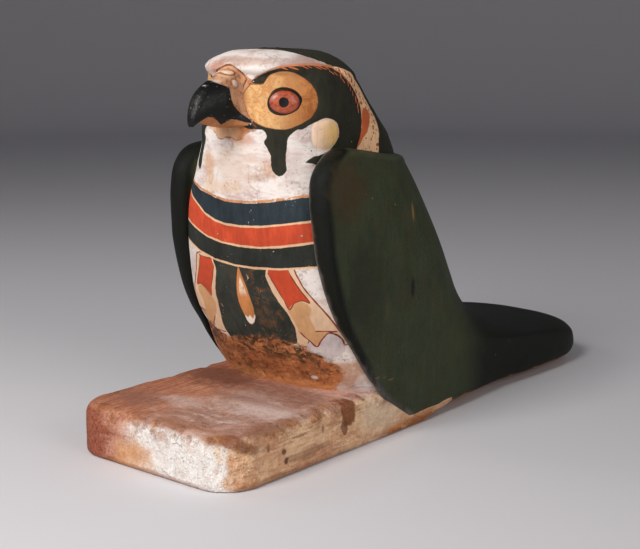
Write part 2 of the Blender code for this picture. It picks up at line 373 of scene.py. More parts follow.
def make_wood_group():
    """Bare old wood: grain along the block, uneven tone and blackened pits."""
    tree, take, give = new_group(
        "bare_wood", {"Light": paint(196, 128, 76), "Dark": paint(112, 62, 38), "Pitting": 0.3},
        {"Colour": tuple, "Height": float})
    grain = cloud(3.0, 6, 0.65, stretch=(3, 7, 1), seed=2.0, lean=0.5)
    tone = cloud(24, 6, 0.65, stretch=(1, 1.6, 1), seed=7.0, lean=0.5)
    colour = blend(between(grain, 0.35, 0.7), take["Light"], take["Dark"])
    colour = blend(between(tone, 0.38, 0.62), colour, blend(0.75, take["Light"], take["Dark"]))
    pits = average(cloud(4.0, 6, 0.7, seed=13.0), cloud(17, 4, 0.6, seed=15.0), 0.6)
    pits = times(between(pits, 0.5, 0.6), take["Pitting"])
    colour = blend(pits, colour, paint(40, 34, 26))
    link(colour, give["Colour"])
    link(minus(times(grain, 0.8), pits), give["Height"])
    return tree


def make_edge_group():
    """Hand-drawn border: a distance in millimetres becomes a mask, wandering a little."""
    tree, take, give = new_group(
        "hand_drawn_edge", {"Distance": 0.0, "Wander": 0.6, "Softness": 0.35}, {"Mask": float})
    slow = minus(cloud(9, 3, 0.5, seed=21.0), 0.5)
    quick = minus(cloud(2.0, 2, 0.5, seed=23.0), 0.5)
    moved = plus(slow, times(quick, 0.45))
    moved = scaled(moved, times(take["Wander"], 2.5), take["Distance"])
    mask = maths("DIVIDE", moved, take["Softness"])
    link(between(mask, -1.0, 1.0, 1.0, 0.0), give["Mask"])
    return tree


def make_patch_group():
    """Soft-edged patch of wear or stain round a place, with a torn outline."""
    tree, take, give = new_group(
        "worn_patch", {"X": 0.0, "Y": 0.0, "Z": 0.0, "Width": 20.0, "Length": 20.0,
                       "Height": 20.0, "Tear": 0.4, "Fade": 0.2}, {"Mask": float})
    place = object_place()
    total = 0.0
    for axis, middle, reach in ((0, "X", "Width"), (1, "Y", "Length"), (2, "Z", "Height")):
        offset = scaled(place[axis], 1000.0, times(take[middle], -1.0))
        share = maths("DIVIDE", offset, take[reach])
        total = plus(times(share, share), total)
    torn = minus(cloud(18, 6, 0.65, seed=31.0, lean=0.5), 0.5)
    total = plus(maths("SQRT", total), times(torn, times(take["Tear"], 4.0)))
    link(between(total, minus(1.0, take["Fade"]), plus(1.0, take["Fade"]), 1.0, 0.0), give["Mask"])
    return tree


def make_paint_group():
    """Old distemper paint: brushed tone and small losses to the gesso."""
    tree, take, give = new_group(
        "old_paint", {"Colour": paint(60, 62, 50), "Variation": 0.3, "Losses": 0.2},
        {"Colour": tuple, "Cover": float, "Height": float})
    brushed = cloud(5, 5, 0.6, stretch=(1, 1, 4), seed=41.0)
    tone = cloud(30, 5, 0.6, seed=43.0)
    shade = minus(average(brushed, tone, 0.45), 0.5)
    shade = scaled(shade, times(take["Variation"], 3.2), 1.0)
    colour = add("HueSaturation", {"Color": take["Colour"], "Value": shade}).outputs[0]
    chips = cloud(2.6, 5, 0.62, seed=47.0)
    zone = cloud(16, 3, 0.5, seed=49.0)
    limit = minus(0.74, times(take["Losses"], 0.25))
    cover = between(minus(average(chips, zone, 0.6), limit), -0.01, 0.015, 1.0, 0.0)
    link(colour, give["Colour"])
    link(cover, give["Cover"])
    link(scaled(brushed, 0.15, times(cover, 0.25)), give["Height"])
    return tree


gesso = make_gesso_group()
bare_wood = make_wood_group()
hand_drawn_edge = make_edge_group()
worn_patch = make_patch_group()
old_paint = make_paint_group()


def lay_torn_patches(colour, places):
    """Soft torn patches one over the other: middle, three reaches, tear, fade, colour, share."""
    for x, y, z, width, length, height, tear, fade, tint, share in places:
        mask = use(worn_patch, X=float(x), Y=float(y - ZERO_LINE), Z=float(z), Width=float(width),
                   Length=float(length), Height=float(height), Tear=tear, Fade=fade)["Mask"]
        colour = blend(times(mask, share), colour, paint(*tint))
    return colour


slab_finish, shader = new_material("stained_gesso_on_the_plinth")
skin = use(gesso, White=paint(255, 252, 247), Bloom=0.25, Staining=0.28, Grime=0.4)
wood = use(bare_wood, Light=paint(214, 140, 78), Dark=paint(150, 88, 50), Pitting=0.4)
clouds = cloud(34, 6, 0.62, seed=52.0, lean=1.2)
wisps = cloud(15, 6, 0.65, stretch=(2.4, 1, 1), seed=54.0, lean=0.8)
lines = cloud(2.6, 5, 0.6, stretch=(1, 11, 1), seed=56.0, lean=0.6)
top_tint = blend(between(clouds, 0.36, 0.58), paint(212, 168, 150), paint(176, 128, 108))
top_tint = blend(between(wisps, 0.52, 0.7), top_tint, paint(222, 196, 186))
top_tint = blend(times(between(lines, 0.54, 0.7), 0.3), top_tint, paint(146, 94, 74))
level = times(number("level"), between(wisps, 0.3, 0.42, 0.6, 0.95))
colour = blend(level, skin["Colour"], top_tint)
side_tint = blend(between(clouds, 0.4, 0.6), paint(255, 208, 158), paint(228, 166, 116))
side_tint = blend(times(between(lines, 0.48, 0.66), 0.6), side_tint, paint(166, 106, 70))
colour = blend(times(number("near_side"), 0.9), colour, side_tint)
drift = plus(number("across"), times(minus(wisps, 0.5), 90.0))
pink = blend(between(lines, 0.4, 0.65), paint(210, 150, 116), paint(182, 108, 80))
colour = blend(between(drift, -32.0, 10.0, 0.9, 0.0), colour, pink)
russet = blend(between(lines, 0.4, 0.65), paint(168, 96, 70), paint(128, 62, 46))
russet_here = times(between(drift, -62.0, -28.0, 0.95, 0.0),
                    between(number("level"), 0.2, 0.9, 1.0, 0.35))
colour = blend(russet_here, colour, russet)
PLINTH_STAINS_AND_SHADE = (
    (-16, -314, 11, 22, 16, 15, 0.45, 0.60, (230, 172, 116), 0.75),
    (-8, -314, 17, 12, 12, 8, 0.50, 0.60, (214, 150, 98), 0.45),
    (22, -170, 48, 82, 24, 14, 0.40, 0.60, (138, 88, 68), 0.60),
    # Painted shadow: this patch darkens the plinth top beside the far side of the belly, where the
    # body shades it.
    (-52, -160, 48, 40, 30, 14, 0.45, 0.50, (118, 76, 60), 0.80),
    (-58, -262, 48, 34, 20, 10, 0.50, 0.50, (154, 108, 90), 0.65),
    (-22, -246, 49, 24, 12, 8, 0.50, 0.50, (214, 186, 176), 0.70),
    (62, -222, 49, 44, 20, 9, 0.55, 0.60, (226, 200, 190), 0.90),
    (20, -196, 49, 30, 12, 9, 0.55, 0.60, (206, 176, 164), 0.50),
    (28, -206, 49, 42, 7, 9, 0.55, 0.60, (146, 98, 78), 0.45),
    (92, -164, 48, 16, 20, 9, 0.45, 0.50, (200, 158, 138), 0.70),
    (34, -296, 49, 44, 8, 7, 0.55, 0.50, (184, 128, 98), 0.70),
    (78, -306, 46, 18, 10, 6, 0.55, 0.50, (184, 132, 96), 0.70),
    (90, -298, 44, 11, 9, 6, 0.55, 0.40, (150, 92, 60), 0.85),
    (98, -290, 40, 6, 9, 6, 0.55, 0.40, (120, 72, 46), 0.80),
    (100, -281, 35, 6, 8, 5, 0.60, 0.40, (116, 70, 46), 0.60),
    (98, -252, 46, 12, 44, 5, 0.60, 0.50, (150, 100, 70), 0.75),
    (103, -152, 39, 20, 12, 14, 0.45, 0.12, (140, 86, 54), 0.95),
    (103, -159, 25, 12, 5, 8, 0.55, 0.15, (128, 80, 50), 0.80),
    (101, -214, 15, 9, 26, 4, 0.70, 0.40, (128, 82, 54), 0.45),
    (101, -104, 26, 14, 30, 20, 0.45, 0.45, (240, 214, 184), 0.80),
    (100, -238, 2, 12, 90, 4, 0.55, 0.60, (160, 104, 66), 0.55),
    (102, -243, 24, 4, 3.5, 3.0, 0.55, 0.30, (104, 62, 38), 0.85),
    (102, -240, 15, 4, 3.0, 3.5, 0.55, 0.30, (96, 56, 34), 0.85),
    (102, -262, 31, 4, 2.0, 4.5, 0.55, 0.30, (120, 74, 46), 0.70),
    (102, -190, 32, 4, 2.0, 6.0, 0.55, 0.30, (128, 80, 50), 0.60),
    (102, -222, 33, 4, 9.0, 1.2, 0.60, 0.30, (128, 80, 50), 0.60),
    (0, -314, 2, 80, 12, 3, 0.40, 0.50, (170, 110, 70), 0.60),
)
colour = lay_torn_patches(colour, PLINTH_STAINS_AND_SHADE)
wear_and_painted_highlight = times(number("arris"), between(cloud(20, 6, 0.65, seed=51.0), 0.46, 0.62))
colour = blend(times(wear_and_painted_highlight, 0.7), colour, wood["Colour"])
speckle = average(cloud(1.8, 4, 0.65, seed=58.0), cloud(7.0, 6, 0.7, seed=59.0, lean=0.6), 0.5)
speckle = between(speckle, 0.4, 0.62, 0.0, 0.34)
colour = blend(speckle, colour, paint(150, 104, 78), "MULTIPLY")
bared = times(number("bared"), between(cloud(14, 5, 0.6, seed=57.0), 0.3, 0.45))
colour = blend(bared, colour, wood["Colour"])
link(colour, shader["Base Color"])
link(skin["Roughness"], shader["Roughness"])
relief = plus(scaled(lines, 0.4, skin["Height"]), times(wood["Height"], wear_and_painted_highlight))
link(bump(relief, 1.0, 0.0016), shader["Normal"])
finish_piece(plinth, slab_finish)


# Crust on the plinth: hundreds of small lumps of thick gesso stuck to the front and the near
# corner, where the coat was laid on heavily and has blistered.
GRAINS_PER_SQUARE_METRE = 90000.0
GRAIN_SMALL = 0.45
GRAIN_LARGE = 1.5
GRAIN_FLATNESS = 0.4
GRAIN_SUNK = 0.12


def form(kind, inputs=None, **settings):
    """The outputs of a new geometry node."""
    return add("GeometryNode" + kind, inputs, **settings).outputs


def grow_from(thing, tree, **values):
    """Run a Geometry Nodes tree on a piece and keep the result as its plain mesh."""
    maker = thing.modifiers.new(tree.name, "NODES")
    maker.node_group = tree
    for socket in tree.interface.items_tree:
        label = socket.name.replace(" ", "_")
        if socket.in_out == "INPUT" and label in values:
            maker[socket.identifier] = values[label]
    set_modifiers(thing)


def small_things_tree(name, inputs):
    """Empty tree with a geometry in and out, named inputs, and a seed for what is random."""
    Bench.tree = tree = bpy.data.node_groups.new(name, "GeometryNodeTree")
    tree.interface.new_socket("Geometry", in_out="INPUT", socket_type="NodeSocketGeometry")
    for label in inputs:
        tree.interface.new_socket(label, in_out="INPUT", socket_type="NodeSocketFloat")
    tree.interface.new_socket("Seed", in_out="INPUT", socket_type="NodeSocketInt")
    tree.interface.new_socket("Finish", in_out="INPUT", socket_type="NodeSocketMaterial")
    tree.interface.new_socket("Geometry", in_out="OUTPUT", socket_type="NodeSocketGeometry")
    return tree, tree.nodes.new("NodeGroupInput").outputs, tree.nodes.new("NodeGroupOutput").inputs


def finish_small_things(take, give, instances):
    """Plain smooth mesh out of the instances, in the finish that was handed in."""
    smooth = form("SetShadeSmooth", {0: form("RealizeInstances", {0: instances})[0]})[0]
    finished = form("SetMaterial", {"Geometry": smooth, "Material": take["Finish"]})[0]
    link(finished, give["Geometry"])


def chance_size(take, small, large):
    """A size drawn for each small thing between two limits."""
    return add("FunctionNodeRandomValue", {2: small, 3: large, "Seed": take["Seed"]},
               data_type="FLOAT").outputs[1]


def crust_tree():
    """Flattened lumps scattered over the crusted faces and sunk a little into them."""
    tree, take, give = small_things_tree("crust_grains", ("Density", "Small", "Large", "Sunk"))
    crusted = form("InputNamedAttribute", {"Name": "crusted"}, data_type="FLOAT")[0]
    spread = form("DistributePointsOnFaces",
                  {"Mesh": take["Geometry"], "Density": times(crusted, take["Density"]),
                   "Seed": take["Seed"]}, distribute_method="RANDOM")
    sunk = add("VectorMath", {0: spread["Normal"], 3: times(take["Sunk"], -1.0)},
               operation="SCALE").outputs[0]
    points = form("SetPosition", {"Geometry": spread["Points"], "Offset": sunk})[0]
    grain = form("MeshUVSphere", {"Segments": 8, "Rings": 5, "Radius": 1.0})[0]
    grain = form("Transform", {"Geometry": grain, "Scale": (1.0, 1.0, GRAIN_FLATNESS)})[0]
    size = chance_size(take, take["Small"], take["Large"])
    placed = form("InstanceOnPoints", {"Points": points, "Instance": grain,
                                       "Rotation": spread["Rotation"], "Scale": size})[0]
    finish_small_things(take, give, placed)
    return tree


crust_lumps = put("crust_on_the_plinth", plinth.data.copy())
crust_lumps.data.materials.clear()
grow_from(crust_lumps, crust_tree(), Density=GRAINS_PER_SQUARE_METRE, Small=GRAIN_SMALL / 1000,
          Large=GRAIN_LARGE / 1000, Sunk=GRAIN_SUNK / 1000, Seed=7, Finish=slab_finish)
finish_piece(crust_lumps)


# Neck, head, breast and belly: the front of the carved block, smoothed with gesso and painted
# with the face marks, the banded collar and the feather pattern below it. Rows give height, front
# line, depth of the front curve, half-width, fullness, back line, depth and fullness of the back.
BODY_LINES = (
    (36, -132, 50, 94, 2.0, 60, 80, 2.0),
    (47, -144, 48, 97, 2.0, 60, 80, 2.0),
    (66, -154, 40, 98, 2.0, 60, 80, 2.0),
    (92, -168, 41, 96, 2.0, 60, 80, 2.0),
    (115, -176, 31, 94, 2.0, 50, 80, 2.0),
    (140, -184, 26, 90, 2.0, 40, 80, 2.0),
    (180, -194, 27, 85, 2.0, 30, 80, 2.0),
    (220, -199, 32, 81, 2.0, 10, 80, 2.0),
    (250, -201, 46, 77, 2.0, -1, 85, 2.1),
    (265, -202, 56, 74, 2.1, -3, 86, 2.2),
    (280, -202, 64, 72, 2.1, -10, 86, 2.25),
    (300, -202, 65, 72, 2.05, -28, 84, 2.2),
    (320, -202, 60, 72, 1.75, -45, 82, 2.1),
    (334, -200, 58, 71, 1.65, -57, 80, 2.1),
    (341, -199, 57, 69, 1.7, -63, 78, 2.1),
    (347, -202, 57, 64, 1.9, -69, 75, 2.1),
    (352, -199, 54, 58, 2.0, -75, 70, 2.1),
    (358, -190, 47, 50, 2.0, -84, 60, 2.0),
    (362, -180, 36, 38, 2.0, -95, 48, 2.0),
    (364.2, -164, 20, 21, 2.0, -112, 32, 2.0),
    (365.5, -150, 6, 6, 2.0, -138, 6, 2.0),
)
BODY_GRAIN = 1.45
BODY_FRONT_COLUMNS = 92
BODY_FLANK_COLUMNS = 26
BODY_BACK_COLUMNS = 26
CHART_RADIUS = 75.0
CHART_AXIS = -137.0


def smooth_lines(lines, heights):
    """Every column of a table of lines at the heights asked for, by a monotone cubic curve."""
    table = np.array(lines, dtype=float)
    known = table[:, 0]
    span = np.diff(known)
    place = np.clip(np.searchsorted(known, heights, side="right") - 1, 0, len(known) - 2)
    share = (heights - known[place]) / span[place]
    columns = []
    for values in table[:, 1:].T:
        rise = np.diff(values) / span
        slope = np.concatenate(([rise[0]], np.zeros(len(known) - 2), [rise[-1]]))
        for i in range(1, len(known) - 1):
            if rise[i - 1] * rise[i] > 0:
                before = 2 * span[i] + span[i - 1]
                after = span[i] + 2 * span[i - 1]
                slope[i] = (before + after) / (before / rise[i - 1] + after / rise[i])
        columns.append(
            values[place] * (2 * share ** 3 - 3 * share ** 2 + 1)
            + slope[place] * span[place] * (share ** 3 - 2 * share ** 2 + share)
            + values[place + 1] * (3 * share ** 2 - 2 * share ** 3)
            + slope[place + 1] * span[place] * (share ** 3 - share ** 2))
    return np.array(columns).T


def row_heights(lines, step):
    """Heights of the rows of a form, so that neighbours lie about one step apart."""
    table = np.array(lines, dtype=float)
    fine = np.linspace(table[0, 0], table[-1, 0], 800)
    turns = np.abs(np.diff(smooth_lines(lines, fine)[:, :4], axis=0)).max(axis=1)
    travelled = np.concatenate(([0.0], np.cumsum(np.hypot(np.diff(fine), turns))))
    rows = max(2, round(travelled[-1] / step))
    return np.interp(np.linspace(0, travelled[-1], rows), travelled, fine)


def even_along(points, count):
    """A line resampled to evenly spaced points."""
    points = np.asarray(points, float)
    run = np.concatenate(([0.0], np.cumsum(np.linalg.norm(np.diff(points, axis=0), axis=1))))
    stops = np.linspace(0, run[-1], count + 1)
    return np.stack([np.interp(stops, run, column) for column in points.T], axis=1)


def quarter(half, depth, fullness, steps=160):
    """A quarter of a rounded outline: how far across and how far in from its end line."""
    turn = np.linspace(0, math.pi / 2, steps)
    across = half * np.sin(turn) ** (2 / fullness)
    return across, depth * (1 - np.cos(turn) ** (2 / fullness))


def body_ring(line):
    front, front_depth, half, front_fullness, back, back_depth, back_fullness = line
    across, deep = quarter(half, front_depth, front_fullness)
    ahead = even_along(np.stack([across, front + deep], axis=1), BODY_FRONT_COLUMNS)
    across, deep = quarter(half, back_depth, back_fullness)
    behind = even_along(np.stack([across, back - deep], axis=1)[::-1], BODY_BACK_COLUMNS)
    flank = even_along([ahead[-1], behind[0]], BODY_FLANK_COLUMNS)
    return np.concatenate([ahead, flank[1:], behind[1:]])


def skin_over(name, rings, pole=None):
    """Closed mesh over rings of equally many points; the last ring may run out to a pole."""
    rows, count = rings.shape[:2]
    verts = rings.reshape(-1, 3)
    here = np.arange(count)
    after = (here + 1) % count
    faces = []
    for row in range(rows - 1):
        low = row * count
        high = low + count
        quads = np.stack([low + here, low + after, high + after, high + here], axis=1)
        faces += quads.tolist()
    faces.append(here[::-1].tolist())
    top = (rows - 1) * count
    if pole is None:
        faces.append((top + here).tolist())
    else:
        verts = np.concatenate([verts, [pole]])
        faces += [[top + i, top + (i + 1) % count, rows * count] for i in range(count)]
    mesh = bpy.data.meshes.new(name)
    mesh.from_pydata(metres(verts).tolist(), [], faces)
    shape = bmesh.new()
    shape.from_mesh(mesh)
    bmesh.ops.recalc_face_normals(shape, faces=shape.faces)
    shape.to_mesh(mesh)
    shape.free()
    return put(name, mesh)


def both_sides(half, height):
    """A whole level ring from its left half, which starts and ends on the middle line."""
    ring = np.concatenate([half, half[-2:0:-1] * (-1, 1)])
    return np.column_stack([ring, np.full(len(ring), height)])


heights = row_heights(BODY_LINES, BODY_GRAIN)
rings = [both_sides(body_ring(line), height)
         for height, line in zip(heights, smooth_lines(BODY_LINES, heights))]
crown_middle = rings[-1].mean(axis=0)
rings += [crown_middle + (rings[-1] - crown_middle) * share for share in (0.66, 0.33)]
body = skin_over("head_and_breast", np.array(rings), crown_middle)


def unroll(points):
    """Chart of the front and head: millimetres round from the middle line, and height."""
    around = np.arctan2(points[:, 0], CHART_AXIS - points[:, 1])
    return np.column_stack([CHART_RADIUS * around, points[:, 2]])


def rounded(outline, steps=6):
    """Smooth closed line through the corners of an outline; a corner given twice stays sharp."""
    points = np.array(outline, float)
    before, after, beyond = (np.roll(points, shift, axis=0) for shift in (1, -1, -2))
    share = np.arange(steps)[:, None, None] / steps
    curve = 0.5 * (2 * points + (after - before) * share
                   + (2 * before - 5 * points + 4 * after - beyond) * share ** 2
                   + (3 * points - before - 3 * after + beyond) * share ** 3)
    return curve.transpose(1, 0, 2).reshape(-1, 2)


def from_line(chart, corners):
    """Distance of every point from an open line through the given corners."""
    corners = np.asarray(corners, float)
    closest = np.full(len(chart), np.inf)
    for start, end in zip(corners, corners[1:]):
        along = end - start
        if np.any(along):
            share = np.clip(((chart - start) @ along) / (along @ along), 0, 1)
            gap = chart - start - share[:, None] * along
            closest = np.minimum(closest, np.einsum("ij,ij->i", gap, gap))
    return np.sqrt(closest)


def from_outline(chart, outline):
    """Distance of every point from a closed outline, counted negative inside it."""
    line = rounded(outline)
    line = np.concatenate([line, line[:1]])
    inside = np.zeros(len(chart), bool)
    for start, end in zip(line, line[1:]):
        if start[1] != end[1]:
            crosses = (start[1] > chart[:, 1]) != (end[1] > chart[:, 1])
            lean = (end[0] - start[0]) / (end[1] - start[1])
            inside ^= crosses & (chart[:, 0] < start[0] + (chart[:, 1] - start[1]) * lean)
    return np.where(inside, -1, 1) * from_line(chart, line)


def above_line(chart, line):
    """Height of every point over a line drawn across the chart."""
    places, heights = np.array(line, float).T
    return chart[:, 1] - np.interp(chart[:, 0], places, heights)


# The painter's outlines: those on both sides of the head and breast, then those drawn once
OUTLINES_ON_BOTH_SIDES = {
    "mask_mm": (
        (25, 336), (25, 336), (35, 341), (48, 346), (63, 349), (80, 350), (99, 350), (122, 348),
        (122, 348), (136, 338), (148, 327), (154, 311), (153, 292), (149, 279), (142, 262),
        (142, 240), (100, 240), (91, 262), (79, 265), (79, 265), (88, 270), (102, 273), (113, 278),
        (122, 288), (118, 299), (104, 304), (90, 300), (80, 295), (74, 294), (66, 288), (64, 279),
        (63, 268), (63, 258), (56, 254), (50, 260), (48, 273), (42, 283), (45, 288), (41, 294),
        (30, 295), (29, 301), (40, 310), (45, 320), (38, 330),
    ),
    "disc_mm": (
        (26, 334), (26, 334), (39, 334), (42, 336), (48, 342), (59, 345), (72, 344), (85, 338),
        (93, 329), (95, 317), (89, 306), (77, 299), (63, 295), (47, 296), (34, 300), (24, 307),
        (19, 316), (18, 325),
    ),
    "stripe_mm": (
        (160, 311), (168, 306), (167, 300), (160, 288), (151, 278), (142, 268), (149, 280),
        (153, 292), (155, 303),
    ),
    "ear_mm": (
        (90, 299), (98, 302), (109, 303), (118, 298), (121, 290), (118, 281), (108, 276),
        (97, 276), (90, 281), (88, 290),
    ),
    "eye_line_mm": (
        (45.5, 319), (48, 325), (53, 329.5), (61, 331.5), (69.5, 330.5), (76, 327), (80, 320.5),
        (77, 314.5), (71, 310), (63, 307), (56, 308), (49.5, 312.5),
    ),
    "jaw_mm": (
        (-20, 300), (0, 286.5), (3, 287), (9, 284.5), (13, 284.5), (17, 285.5), (21, 289.5),
        (27, 292.5), (32, 293.5), (33, 296), (28, 299), (20, 303), (10, 306),
    ),
    "horn_mm": (
        (8, 304), (15, 300), (20, 296.5), (25, 295), (31, 294.5), (31, 296.5), (27, 299),
        (23, 302), (18, 308), (8, 312),
    ),
    "cere_skin_mm": (
        (-22, 336), (-14, 346), (-8, 349.5), (0, 351), (6, 350), (12, 347.5), (17, 344.5),
        (22, 341), (28, 337), (26, 333), (20, 328), (18.5, 320), (20, 314), (23.5, 308),
        (27, 303.5), (20, 300), (10, 300), (-10, 310),
    ),
    "pale_lobe_mm": (
        (88, 96), (90, 105), (96, 110), (103, 109), (109, 102), (112, 92), (106, 84), (94, 86),
    ),
    "wedge_mm": (
        (40, 170), (40, 170), (63, 171), (63, 171), (70, 158), (82, 140), (77, 141), (71, 138),
        (67, 131), (61, 140), (50, 155),
    ),
    "outer_mm": (
        (66, 173), (71, 165), (76, 155), (82, 146), (94, 129), (104, 113), (112, 98), (60, 98),
        (40, 150), (50, 173),
    ),
    "lobe_mm": (
        (66, 124), (67, 132), (72, 139), (79, 139), (84, 133), (84, 124), (90, 110), (76, 110),
    ),
    "low_wedge_mm": (
        (76, 113), (82, 106), (88, 101), (95, 95), (96, 102), (98, 110), (103, 112), (95, 112),
        (84, 111),
    ),
}
NAPE_OUTLINE = (
    (122, 348), (122, 348), (142, 346), (154, 341), (167, 326), (174, 311), (178, 300),
    (176, 286), (172, 272), (170, 240), (250, 240), (250, 380), (130, 380),
)
CROWN_OUTLINE = (
    (0, -163), (24, -161), (37, -159), (47, -156), (54, -150), (59, -141), (62, -132),
    (62, -110), (58, -85), (30, -50), (0, -40), (-20, -80), (-20, -140),
)
GAPE_LINE = (
    (21, 338), (18, 333), (16, 327), (17.5, 320), (20, 314), (23.5, 308), (27, 303.5),
    (30, 299.5), (34, 296),
)
CERE_LINE = (
    (-14, 346), (-8, 349.5), (0, 351), (6, 350), (12, 347.5), (16, 344.5), (19, 341), (21, 338),
)
COLLAR_TOP = (
    (-95, 246), (-70, 240), (-46, 234), (-25, 230), (-10, 227.5), (13, 227.5), (38, 229),
    (57, 232), (73, 235), (95, 237),
)
COLLAR_UPPER = (
    (-95, 240), (-74, 231), (-54, 221), (-44, 214), (-29, 209), (-13, 207), (11, 206.5),
    (37, 208), (57, 211), (73, 214), (95, 217),
)
COLLAR_LOWER = (
    (-95, 207), (-74, 203), (-59, 197), (-44, 192), (-21, 189), (8, 188), (36, 188.5),
    (57, 191), (81, 196), (95, 198),
)
COLLAR_HEM = (
    (-95, 189), (-75, 182), (-61, 176), (-39, 171), (-5, 168.5), (27, 168.5), (57, 170),
    (80, 173.5), (95, 175),
)
APRON_OUTLINE = (
    (-36, 175), (-42, 160), (-49, 149), (-56, 138), (-62, 122), (-70, 106), (-73, 96),
    (-71, 87), (-71, 87), (-57, 86), (-34, 88), (-13, 92), (27, 94), (65, 94), (79, 96),
    (79, 96), (75, 110), (68, 123), (58, 135), (48, 147), (41, 159), (35, 175),
)
LEAF_OUTLINE = (
    (0, 170), (0, 170), (4, 159), (8, 148), (11, 138), (14, 127), (12, 118), (6, 111), (-1, 109),
    (-8, 113), (-14, 121), (-16, 132), (-13, 144), (-7, 156), (-3, 163),
)
LEAF_TIP_OUTLINE = (
    (14, 121), (12, 115), (5, 111), (-3, 110), (-9, 113), (-10, 118), (-5, 116), (1, 119),
    (7, 116),
)
WORN_TOP = (
    (-120, 103), (-101, 102), (-90, 95), (-80, 91), (-69, 90), (-40, 93), (-15, 96),
    (19, 99), (49, 98), (74, 95), (90, 91), (100, 87), (107, 81), (113, 75), (118, 66),
    (122, 50), (130, 40),
)

places = millimetres(body)
chart = unroll(places)
FAR_SIDE_SHIFT = 6.0
away_from_middle = np.abs(chart[:, 0])
shift = FAR_SIDE_SHIFT * ease(away_from_middle, 10, 24) * (1 - ease(away_from_middle, 34, 52))
shift *= (chart[:, 0] < 0) * ease(chart[:, 1], 300, 320)
folded = np.column_stack([away_from_middle - shift, chart[:, 1]])
plan = np.column_stack([np.abs(places[:, 0]), places[:, 1]])
marks = {name: from_outline(folded, outline) for name, outline in OUTLINES_ON_BOTH_SIDES.items()}
marks.update({
    "nape_mm": np.minimum(from_outline(folded, NAPE_OUTLINE), from_outline(plan, CROWN_OUTLINE)),
    "gape_mm": from_line(folded, GAPE_LINE),
    "cere_mm": from_line(folded, CERE_LINE),
    "collar_top_mm": above_line(chart, COLLAR_TOP),
    "collar_upper_mm": above_line(chart, COLLAR_UPPER),
    "collar_lower_mm": above_line(chart, COLLAR_LOWER),
    "collar_hem_mm": above_line(chart, COLLAR_HEM),
    "apron_mm": from_outline(chart, APRON_OUTLINE),
    "leaf_mm": from_outline(chart, LEAF_OUTLINE),
    "leaf_tip_mm": from_outline(chart, LEAF_TIP_OUTLINE),
    "worn_mm": above_line(chart, WORN_TOP),
    "round_mm": chart[:, 0],
})
keep(body, **marks)

BROW_RISE = 1.5
GAPE_DEPTH = 1.0
DISC_GROOVE = 0.5
DISC_SUNK = 0.35
CERE_GROOVE = 0.5
EAR_GROOVE = 0.45
EAR_SWELL = 0.5
WORN_DEPTH = 0.7


def near(distance, inner, outer):
    """One on a line and nought away from it."""
    return 1 - ease(np.abs(distance), inner, outer)


brow = 1 - ease(marks["mask_mm"], -0.4, 1.6)
above_brow = ease(folded[:, 1], 336, 341) * ease(folded[:, 0], 22, 34)
relief = 0.5 * rough(places, 40, 11) + 0.22 * rough(places, 11, 12) + 0.1 * rough(places, 4, 13)
relief += BROW_RISE * (1 - brow) * above_brow * (1 - ease(folded[:, 1], 351, 362))
relief -= DISC_GROOVE * near(marks["disc_mm"], 0.2, 1.6)
relief -= DISC_SUNK * (1 - ease(marks["disc_mm"], -3, 0))
relief -= GAPE_DEPTH * near(marks["gape_mm"], 0.3, 1.5)
relief -= CERE_GROOVE * near(marks["cere_mm"], 0.2, 1.3)
relief -= EAR_GROOVE * near(marks["ear_mm"], 0.2, 1.5)
relief += EAR_SWELL * (1 - ease(marks["ear_mm"], -5, 0))
worn_low = ease(-marks["worn_mm"], 0, 5)
relief += worn_low * (0.8 * rough(places, 9, 14) + 0.4 * rough(places, 4, 15) - WORN_DEPTH)
raise_surface(body, relief * ease(places[:, 2], 40, 60))

face_finish, shader = new_material("painted_gesso_of_the_head_and_breast")
skin = use(gesso, White=paint(238, 229, 223), Bloom=0.8, Staining=0.36, Grime=0.42)
wood = use(bare_wood, Light=paint(216, 142, 90), Dark=paint(156, 92, 56), Pitting=0.6)
colour = skin["Colour"]


def edge(name, wander=0.7, softness=0.35, grow=0.0):
    """Mask of all that lies inside the border of a mark, grown by some millimetres."""
    distance = minus(number(name), grow)
    return use(hand_drawn_edge, Distance=distance, Wander=wander, Softness=softness)["Mask"]


def stroke(name, width, wander=0.6, offset=0.0):
    """A line of paint along the border of a mark."""
    distance = minus(maths("ABSOLUTE", minus(number(name), offset)), width / 2)
    return use(hand_drawn_edge, Distance=distance, Wander=wander * 0.5, Softness=0.3)["Mask"]


def outside(mask):
    return minus(1.0, mask)


def lay(colour, mask, tint, variation=0.3, losses=0.15):
    """A coat of old paint over what is there, where the mask says."""
    coat = use(old_paint, Colour=tint, Variation=variation, Losses=losses)
    return blend(times(mask, coat["Cover"]), colour, coat["Colour"])


CREAM = paint(226, 190, 156)
TAN = paint(210, 160, 114)
RED = paint(196, 74, 44)
DARK = paint(40, 42, 38)
BLUE_DARK = paint(40, 50, 56)
LINE_RED = paint(134, 52, 34)
MASK_BLACK = paint(44, 43, 32)

